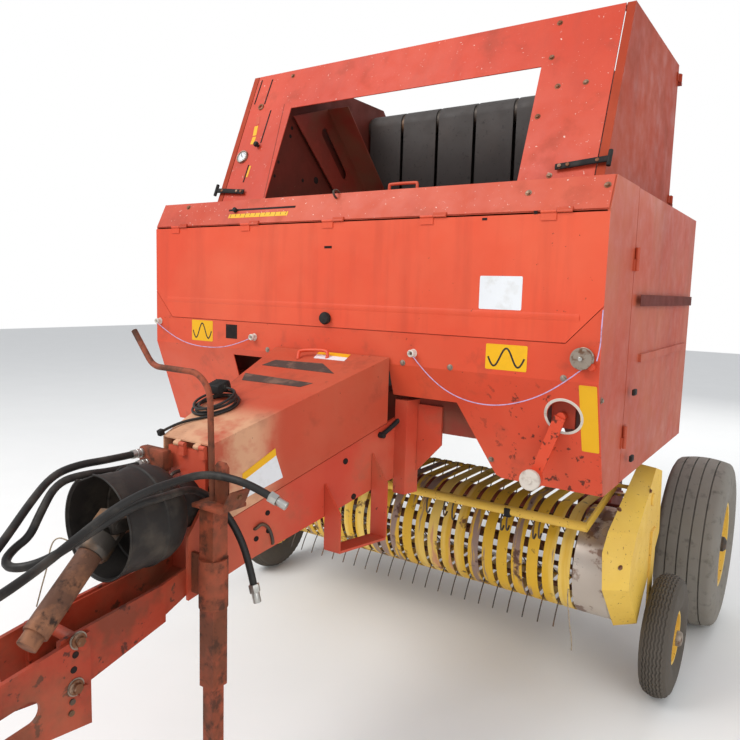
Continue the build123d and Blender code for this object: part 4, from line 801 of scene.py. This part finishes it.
# Rubber strap latches across the joint between the face and each upper shield
for side, mirror in mirrors.items():
    body = "upper_shield_" + side + "_body"
    lift = faceNormal * 0.010
    bends = ((0.676, 1.921, 1), (0.720, 1.924, 1), (0.780, 1.929, 1.8), (0.848, 1.935, 1.3))
    path = [onFace(mirror * x, z) + lift * rise for x, z, rise in bends]
    strap = wire("strap", path, 0.011)
    onStrap = seated((path[0] + path[-1]) / 2, faceNormal)
    strap.data.transform(onStrap @ Matrix.Diagonal((1, 1, 0.36, 1)) @ onStrap.inverted())
    gripFoot, gripTop = (onFace(mirror * 0.842, z) + lift * 1.4 for z in (1.910, 1.960))
    grip = rod("grip", gripFoot, gripTop, 0.007, 16, 0.002)
    dress(join([strap, grip], "strapLatch_" + side), blackRubber, body)
    strapSpots = ((0.690, 1.922), (0.716, 1.924), (0.806, 1.931))
    seats = [(onFace(mirror * x, z) + lift * 1.2, faceNormal, 0.2) for x, z in strapSpots]
    boltGroup("strapBolts_" + side, rustyBolt, smallBolt, seats, body)

# The lip: slot, a near-black strip of painted shade, with its pointer and scale, a hook and a red loop handle
dress(strip("lipSlot", onLip(-0.526, 1.815), onLip(-0.191, 1.815), 0.008, lipNormal), holeShade)
dress(strip("lipScale", onLip(-0.515, 1.791), onLip(-0.217, 1.791), 0.017, lipNormal), labelYellow)
scaleMarks = []
for i in range(12):
    x, foot = -0.505 + 0.0254 * i, 1.788 if i % 3 else 1.784
    scaleMarks.append(strip("mark", onLip(x, 1.799), onLip(x, foot), 0.0018, lipNormal, 0.0012))
dress(join(scaleMarks, "lipScaleMarks"), labelBlack)
pointer = onLip(-0.487, 1.812)
dress(rod("lipPointer", pointer, pointer + lipNormal * 0.014, 0.009, 16, 0.002), blackRubber)
loopBends = ((0.160, 1.852), (0.160, 1.879), (0.163, 1.882), (0.266, 1.882), (0.269, 1.879), (0.269, 1.852))
dress(wire("loopHandle", [at(x, 0.100, z) for x, z in loopBends], 0.005), lipRed)
hookFoot = onLip(-0.017, 1.838)
hookBends = [at(-0.017, y, z) for y, z in ((0.020, 1.862), (0.046, 1.866), (0.058, 1.853))]
dress(wire("lipHook", [hookFoot, hookFoot + lipNormal * 0.016] + hookBends, 0.004), darkSteel)

# The cover: crease, the slot and two marks laid on as near-black patches (painted shade for the slot), and
# the half-round latch at its foot
creaseCorners = [at(-0.861, y, z) for y, z in ((0.0005, 1.453), (-0.003, 1.465), (0.0005, 1.477))]
dress(plate("coverCrease", creaseCorners, (1.722, 0, 0)), coverRed, "front_cover_body")
coverMarks = {"coverSlot": (-0.019, 1.668, 0.032, 0.008), "markHigh": (0.563, 1.743, 0.016, 0.007),
              "markLow": (0.719, 1.756, 0.010, 0.010)}
for name, (x, z, width, height) in coverMarks.items():
    mark = strip(name, at(x - width / 2, 0, z), at(x + width / 2, 0, z), height, forward)
    dress(mark, holeShade, "front_cover_body")
latch = [(-0.001, 0), (-0.001, 0.020), (0.010, 0.022), (0.018, 0.018), (0.020, 0.0)]
dress(ringOn("coverLatch", latch, at(-0.021, 0, 1.424), forward, 32, False), blackRubber, "front_cover_body")

# The apron: square hole as a near-black patch of painted shade, twine eyelets, roller with a red cap, lever's
# ring and roller
dress(strip("lampHole", at(-0.513, 0, 1.351), at(-0.453, 0, 1.351), 0.054, forward), holeShade)
eyelet = [(0.000, 0.006), (0.010, 0.005), (0.018, 0.006), (0.022, 0.009), (0.018, 0.012), (0.008, 0.011),
          (0.000, 0.014)]
eyelets = [ringOn("eyelet", eyelet, at(x, 0, z), forward, 28)
           for x, z in ((-0.905, 1.372), (-0.363, 1.337), (0.335, 1.328))]
dress(join(eyelets, "eyelets"), ceramic)
grooved = [(0.004, 0.006), (0.004, 0.030), (0.008, 0.031), (0.013, 0.022), (0.019, 0.022), (0.024, 0.031),
           (0.028, 0.030), (0.030, 0.006)]
dress(ringOn("twineRollerWheel", grooved, at(0.880, 0, 1.355), forward, 36), greyBolt)
dress(rod("rollerPin", at(0.880, 0.001, 1.355), at(0.880, -0.036, 1.355), 0.006, 16), platedSteel)
dress(rod("rollerCap", at(0.905, 0.001, 1.333), at(0.905, -0.016, 1.333), 0.010, 20, 0.003), coverRed)
painted = [(-0.0004, 0.050), (0.001, 0.050), (0.001, 0.057), (-0.0004, 0.059)]
dress(ringOn("leverRing", painted, onLean(0.822, 1.179), leanNormal, 60), rollerWhite)
leverFoot = strike("twine_arm", at(0.745, -0.4, 0.985), (0, 1, 0))[0]
leverRoller = [(0.0, 0.0), (0.0, 0.029), (0.004, 0.031), (0.016, 0.031), (0.020, 0.028), (0.020, 0.010),
               (0.024, 0.009), (0.024, 0.0)]
dress(ringOn("leverRoller", leverRoller, leverFoot, forward, 36, False), rollerWhite)

# Side doors: long recess, a flat dark strip of painted shade, and catches
doorX = max(abs(v.co.x) for v in nodes["front_corners"].data.vertices)
for side, mirror in mirrors.items():
    body = "side_door_" + side + "_body"
    recessEnds = [at(doorX * mirror, y, 1.517) for y in (0.350, 1.251)]
    recess = strip("doorRecessShade_" + side, *recessEnds, 0.036, (mirror, 0, 0), 0.0010)
    dress(recess, wallShadeRed, body)
    catches = []
    for y, z in ((0.343, 1.230), (0.367, 1.013)):
        middle, half = at((doorX + 0.004) * mirror, y, z), Vector((0.005, 0.016, 0.010))
        catches.append(block("catch", middle - half, middle + half, 0.003))
    dress(join(catches, "doorCatches_" + side), blackRubber, body)

# The lid: anti-slip strips, labels, handle, and the rubber latch beside it
lidPatches = {
    "gripStripRear": (antiSlip, [(-0.172, -0.159), (0.140, -0.161), (0.046, -0.100), (-0.155, -0.111)]),
    "gripStripFront": (antiSlip, [(-0.149, -0.278), (0.095, -0.273), (0.118, -0.240), (-0.183, -0.229)]),
    "lidLabelWhite": (labelWhite, [(-0.020, -0.066), (0.110, -0.066), (0.104, -0.040), (-0.030, -0.036)]),
    "lidLabelOrange": (labelYellow, [(-0.030, -0.036), (0.104, -0.040), (0.098, -0.014), (-0.040, -0.010)]),
}
for name, (look, corners) in lidPatches.items():
    places = [at(x, y, 1.31 + 0.325 * y) - lidNormal * 0.0006 for x, y in corners]
    dress(plate(name, places, lidNormal * 0.0018), look, "tongue_cover_body")
handleBends = ((-0.075, -0.084, 1.282), (-0.078, -0.078, 1.300), (-0.082, -0.066, 1.312),
               (0.020, -0.048, 1.318), (0.030, -0.052, 1.306), (0.030, -0.058, 1.288))
dress(wire("lidHandle", [at(*p) for p in handleBends], 0.006), coverRed, "tongue_cover_body")
skirtLabels = {
    "cautionHeader": (labelYellow, ((-0.545, 1.008), (-0.439, 1.066), (-0.436, 1.044), (-0.545, 0.986))),
    "cautionSheet": (labelWhite, ((-0.545, 0.986), (-0.436, 1.044), (-0.412, 0.975), (-0.540, 0.935))),
}
for name, (look, spots) in skirtLabels.items():
    corners = [strike("tongue_cover", at(0.5, y, z), (-1, 0, 0))[0] for y, z in spots]
    out = (corners[1] - corners[0]).cross(corners[3] - corners[0]).normalized()
    out = out if out.x > 0 else -out
    dress(plate(name, [c - out * 0.0008 for c in corners], out * 0.002), look, "tongue_cover_body")
latchBends = ((0.244, -0.030, 1.052), (0.252, -0.004, 1.066), (0.262, 0.030, 1.088), (0.266, 0.046, 1.100))
latchPath = [at(*p) for p in latchBends]
across, along = Vector((0.012, 0, 0)), Vector((0, 0, 0.018))
latchParts = [wire("latchStrap", latchPath, 0.008),
              rod("latchEnd", latchPath[0] - across, latchPath[0] + across, 0.010, 20, 0.003),
              rod("latchGrip", latchPath[-1] - along, latchPath[-1] + along, 0.008, 20, 0.003)]
dress(join(latchParts, "lidLatch"), blackRubber, "tongue_cover_body")


# Tongue and hitch: holes as near-black discs of painted shade, bolts with round washers, the eye loop and a
# hook
def spotOn(node, origin, direction, radius, thick=0.0012):
    # a thin round mark where the line meets the node
    place, normal = strike(node, origin, direction)
    return rod("spot", place - normal * 0.0006, place + normal * thick, radius, 20, 0)


plateMarks = {"plateHoles": (0.008, ((-0.494, 0.807), (-0.457, 0.876), (-0.454, 0.822))),
              "plateSlots": (0.010, ((-0.173, 0.985), (-0.136, 0.863)))}
for name, (radius, places) in plateMarks.items():
    marks = [spotOn("tongue_frame", at(0.6, y, z), (-1, 0, 0), radius) for y, z in places]
    dress(join(marks, name), holeShade)
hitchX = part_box("hitch")[1].x
hitchMarks = {
    "hitchHoles": (holeShade, 0.008, 0.0012, ((-1.038, 0.686), (-1.043, 0.652))),
    "hitchRivets": (darkSteel, 0.007, 0.0040, ((-1.049, 0.578), (-1.052, 0.552))),
    "hitchWashers": (greyBolt, 0.021, 0.0030, ((-1.031, 0.718), (-1.040, 0.610))),
}
for name, (look, radius, thick, places) in hitchMarks.items():
    marks = [rod("mark", at(hitchX - 0.0006, y, z), at(hitchX + thick, y, z), radius, 24, 0)
             for y, z in places]
    dress(join(marks, name), look)
washerTops = [(at(hitchX + 0.003, y, z), (1, 0, 0), 0.3) for y, z in hitchMarks["hitchWashers"][3]]
boltGroup("hitchBolts", rustyBolt, largeBolt, washerTops)
eyeFoot, eyeRear = (strike("tongue_frame", at(0.6, y, z), (-1, 0, 0))[0]
                    for y, z in ((-0.500, 0.838), (-0.440, 0.780)))
eyeOut = Vector((0.006, 0, 0))
eyeMiddle = (eyeFoot + eyeRear) / 2 + eyeOut
eyePath = [eyeFoot, eyeFoot + eyeOut, eyeMiddle + Vector((0, -0.012, 0.045)),
           eyeMiddle + Vector((0, 0.020, 0.020)), eyeRear + eyeOut, eyeRear]
dress(wire("eyeLoop", eyePath, 0.005), darkSteel)
hookBends = ((-0.640, 1.010), (-0.662, 1.010), (-0.672, 0.996), (-0.664, 0.984))
dress(wire("tongueHook", [at(-0.030, y, z) for y, z in hookBends], 0.005), darkSteel)

# Jack: cap plate with an upturned ear, tab with its bolt
earCorners = ((0.214, 0.976), (0.244, 0.969), (0.270, 1.024), (0.264, 1.026), (0.238, 0.980))
tabCorners = ((0.183, 0.972), (0.229, 0.972), (0.229, 1.076), (0.219, 1.087), (0.193, 1.087), (0.183, 1.076))
capParts = [block("capPlate", at(0.140, -0.746, 0.968), at(0.244, -0.654, 0.980), 0.003),
            plate("capEar", [at(x, -0.734, z) for x, z in earCorners], (0, 0.068, 0), 0.001),
            plate("capTab", [at(x, -0.706, z) for x, z in tabCorners], (0, 0.006, 0), 0.001)]
dress(join(capParts, "jackCap"), wornRed)
jackSeats = [(at(0.192, -0.706, 1.048), forward, 0.2), (at(0.262, -0.700, 1.008), (0.9, 0, -0.4), 0.2)]
boltGroup("jackBolts", rustyBolt, smallBolt, jackSeats)

# Pickup: windguard's hooks and clamp, guard's bolts and cap
barY, barZ = 0.440, 0.724
hookDrops = ((0.172, 0.066), (0.248, 0.062), (0.285, 0.070), (0.487, 0.066), (0.509, 0.062), (0.612, 0.070),
             (0.633, 0.064), (-0.172, 0.066), (-0.285, 0.070), (-0.487, 0.066), (-0.612, 0.070))
hooks = []
for x, drop in hookDrops:
    bends = ((0.004, -0.004), (-0.014, -0.012), (-0.016, -drop), (0.004, -drop - 0.010),
             (0.016, 0.006 - drop))
    hooks.append(wire("hook", [at(x, barY + y, barZ + z) for y, z in bends], 0.0035, 2))
dress(join(hooks, "windguardHooks"), darkSteel, "windguard_body")
clampLow, clampHigh = at(0.496, barY - 0.018, barZ - 0.016), at(0.522, barY + 0.018, barZ + 0.018)
clamp = block("windguardClamp", clampLow, clampHigh, 0.004)
dress(clamp, blackRubber, "windguard_body")
guardSeats = [(*strike("drive_guard", at(1.3, y, z), (-1, 0, 0)), 0.3)
              for y, z in ((0.590, 0.770), (0.480, 0.600), (0.745, 0.815))]
boltGroup("guardBolts", rustyBolt, smallBolt, guardSeats, "pickup")
capPlace, capNormal = strike("drive_guard", at(1.3, 0.800, 0.770), (-1, 0, 0))
guardCap = [(-0.001, 0), (-0.001, 0.024), (0.005, 0.024), (0.008, 0.021), (0.009, 0)]
dress(spun("guardCap", guardCap, capPlace, 32, capNormal, closed=False), yellowPaint, "pickup")

# Inside the window: holes in the inner walls as near-black spots of painted shade, and the belts' lacings
wallSpots = ((0.467, 2.220, 0.008), (0.457, 2.184, 0.008), (0.545, 2.008, 0.008), (0.640, 2.022, 0.016),
             (0.382, 2.062, 0.007), (0.358, 2.000, 0.007), (0.300, 1.930, 0.012))
for side, mirror in mirrors.items():
    holes = [spotOn("side_walls", at(0, y, z), (mirror, 0, 0), radius, 0.001) for y, z, radius in wallSpots]
    dress(join(holes, "wallHoles_" + side), holeShade)
lacings, lacingPitch = [], 0.012
lacingRows = ((-0.478, 2.289, 0.060), (-0.563, 2.224, 0.050), (-0.250, 2.169, 0.090), (-0.215, 2.115, 0.060),
              (0.060, 2.200, 0.100))
for x, z, width in lacingRows:
    for i in range(int(width / lacingPitch)):
        origin = at(x + lacingPitch * i, 0.3, z)
        found, place, normal, _ = nodes["rear_belts"].ray_cast(origin, Vector((0, 1, 0)))
        if found:
            up = (Vector((0, 0, 1)) - normal * normal.z).normalized() * 0.007
            lacings.append(strip("lacing", place - up, place + up, 0.003, normal, 0.0012))
dress(join(lacings, "beltLacings"), ceramic, "tailgate")

# Drive shaft: input shaft, universal joint with a knurled collar, and the tube that droops from it
jointPlace, tubeEnd = at(0, -0.880, 0.930), at(0.060, -1.115, 0.757)
fall = (tubeEnd - jointPlace).normalized()
across = fall.cross(Vector((1, 0, 0))).normalized()
shaftParts = [rod("inputShaft", at(0, -0.1205, 0.930), at(0, -0.845, 0.930), 0.022, 32, 0.001),
              rod("nearHub", at(0, -0.790, 0.930), at(0, -0.848, 0.930), 0.034, 32, 0.003),
              rod("shaftTube", jointPlace + fall * 0.045, tubeEnd, 0.030, 40, 0.002),
              rod("innerTube", tubeEnd - fall * 0.004, tubeEnd + fall * 0.030, 0.024, 40, 0.002)]
jointParts = [block("ear", at(x - 0.006, -0.900, 0.912), at(x + 0.006, -0.840, 0.948), 0.004)
              for x in (-0.028, 0.028)]
for bar in (Vector((0.036, 0, 0)), across * 0.036):
    jointParts.append(rod("crossBar", jointPlace - bar, jointPlace + bar, 0.011, 20, 0.002))
for s in (-1, 1):
    earSide = jointPlace + across * s * 0.030
    foot, tip = earSide - fall * 0.016, earSide + fall * 0.050
    jointParts.append(strip("farEar", foot, tip, 0.034, across * s, 0.010))
collarProfile = [(0.040, 0.029), (0.040, 0.040), (0.050, 0.043), (0.078, 0.043), (0.086, 0.040),
                 (0.092, 0.036), (0.092, 0.029)]
collar = spun("collar", collarProfile, jointPlace, 48, fall, across, smooth=20)
for vertex in collar.data.vertices:
    offset = vertex.co - jointPlace
    spoke = offset - fall * offset.dot(fall)
    step = round(math.atan2(spoke.x, spoke.dot(across)) / (2 * math.pi) * 48)
    if spoke.length > 0.041 and step % 2:
        vertex.co = vertex.co - spoke.normalized() * 0.003
dress(join(shaftParts, "driveShaft"), barkSteel, "frame", "pto_shaft")
dress(join(jointParts + [collar], "driveJoint"), darkSteel)

# Bell guard: one thin moulded skin with a domed back, a ridge and a jagged tear in its top
bell = {"tear": [(-0.084, -0.930), (-0.062, -0.875), (-0.080, -0.840), (-0.058, -0.790), (-0.064, -0.755),
                 (-0.028, -0.742), (-0.012, -0.780), (-0.034, -0.808), (0.000, -0.858), (-0.016, -0.930)],
        "skin": 0.004, "tearAbove": 1.0, "wall": 0.130}
skin = [(0.6405, 0.070), (0.680, 0.070), (0.706, 0.071), (0.716, 0.090), (0.728, 0.108), (0.744, 0.121),
        (0.764, 0.129), (0.776, 0.130), (0.788, 0.130), (0.796, 0.130), (0.799, 0.1338), (0.807, 0.1338),
        (0.810, 0.130)]
skin += [(0.820 + 0.0105 * i, bell["wall"]) for i in range(9)]
skin += [(0.912, bell["wall"]), (0.916, 0.1335), (0.920, 0.1338)]
shell = spun("bellGuard", skin, at(0, 0, 0.930), 120, forward, closed=False, smooth=40)


def inTear(centre, normal):
    x, y = centre.x, centre.y - frontY
    inside = False
    for (ax, ay), (bx, by) in zip(bell["tear"], bell["tear"][1:] + bell["tear"][:1]):
        if (ay > y) != (by > y) and x < (bx - ax) * (y - ay) / (by - ay) + ax:
            inside = not inside
    return inside and centre.z > bell["tearAbove"]


pickFaces(shell, inTear)
bpy.ops.mesh.delete(type="FACE")
bpy.ops.object.mode_set(mode="OBJECT")
bpy.ops.object.modifier_add(type="SOLIDIFY")
shell.modifiers["Solidify"].thickness = bell["skin"]
bpy.ops.object.modifier_apply(modifier="Solidify")
dress(shell, dustyPlastic, "frame", "pto_shield")

# Reel: shaft, end discs, four bars and curved spring tines, modelled once and copied
reel = {"y": 0.720, "z": 0.520, "ring": 0.140, "rows": 4, "pitch": 0.0612, "columns": 23, "shaft": 0.020,
        "disc": 0.153, "discThick": 0.006, "bar": 0.010}
reelY, reelZ = reel["y"], reel["z"]
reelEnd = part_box("tine_reel")[1].x
reelAxis = at(0, reelY, reelZ)
discs = max(v.co.x for v in nodes["tine_reel"].data.vertices
            if math.hypot(v.co.y - reelAxis.y, v.co.z - reelAxis.z) > 0.1)
reelParts = [rod("reelShaft", at(-reelEnd, reelY, reelZ), at(reelEnd, reelY, reelZ), reel["shaft"])]
for mirror in mirrors.values():
    outer, inner = (at(mirror * x, reelY, reelZ) for x in (discs, discs - reel["discThick"]))
    reelParts.append(rod("reelDisc", outer, inner, reel["disc"], 48))
tineBends = [(0, 0, 0.0), (0, 0, 0.060), (0, -0.008, 0.115), (0, -0.024, 0.157)]
tineMaster = wire("tineMaster", tineBends, 0.0026, 1)
tines = []
for row in range(reel["rows"]):
    angle = math.radians(45 + 360 / reel["rows"] * row)
    y, z = reelY + reel["ring"] * math.cos(angle), reelZ + reel["ring"] * math.sin(angle)
    reelParts.append(rod("reelBar", at(-discs, y, z), at(discs, y, z), reel["bar"], 16))
    lean = Matrix.Rotation(angle - math.pi / 2, 4, "X")
    for column in range(reel["columns"]):
        x = (column - (reel["columns"] - 1) / 2) * reel["pitch"]
        tines.append(copyTo(tineMaster, "tine", Matrix.Translation(at(x, y, z)) @ lean))
dress(join(reelParts, "reelFrame"), barkSteel, "reel", "tine_reel")
dress(join(tines, "reelTines"), darkSteel, "reel")
for master in (tineMaster, smallBolt, largeBolt):
    bpy.data.objects.remove(master)
print("fittings made")

# Plain pale floor and soft light
clearSelection()
bpy.ops.mesh.primitive_plane_add(size=40, location=(0, 0, -0.001))
floor = bpy.context.object
floor.name = "floor"
floor.data.materials.append(finish("floorPaint", "efeeeb", [], 0.8, 0.0, (4, 0.02), shade=0.98))
lamps = {
    "keyLamp": {"place": (-3.2, -5.0, 6.5), "size": 4.0, "power": 420},
    "fillLamp": {"place": (6.0, -3.5, 3.5), "size": 5.0, "power": 160},
    "rearLamp": {"place": (0.5, 7.0, 5.0), "size": 5.0, "power": 160},
}
for name, lamp in lamps.items():
    bpy.ops.object.light_add(type="AREA", location=lamp["place"])
    light = bpy.context.object
    light.name = name
    light.data.size = lamp["size"]
    light.data.energy = lamp["power"]
    light.rotation_euler = (Vector((0, 0, 1.1)) - Vector(lamp["place"])).to_track_quat("-Z", "Y").to_euler()

# The sky lights the object softly, and the camera sees plain white
world = bpy.data.worlds.new("studio")
bpy.context.scene.world = world
world.use_nodes = True
worldTree = world.node_tree
sky = worldTree.nodes["Background"]
sky.inputs["Color"].default_value = (0.92, 0.95, 1.0, 1.0)
sky.inputs["Strength"].default_value = 0.72
seenRays = addNode(worldTree, "ShaderNodeLightPath")
plainWhite = addNode(worldTree, "ShaderNodeBackground", {"Color": (1, 1, 1, 1), "Strength": 1.0})
pick = addNode(worldTree, "ShaderNodeMixShader")
worldTree.links.new(seenRays.outputs["Is Camera Ray"], pick.inputs[0])
worldTree.links.new(sky.outputs[0], pick.inputs[1])
worldTree.links.new(plainWhite.outputs[0], pick.inputs[2])
worldTree.links.new(pick.outputs[0], worldTree.nodes["World Output"].inputs["Surface"])
bpy.context.scene.view_settings.view_transform = "Standard"

print("scene ready")
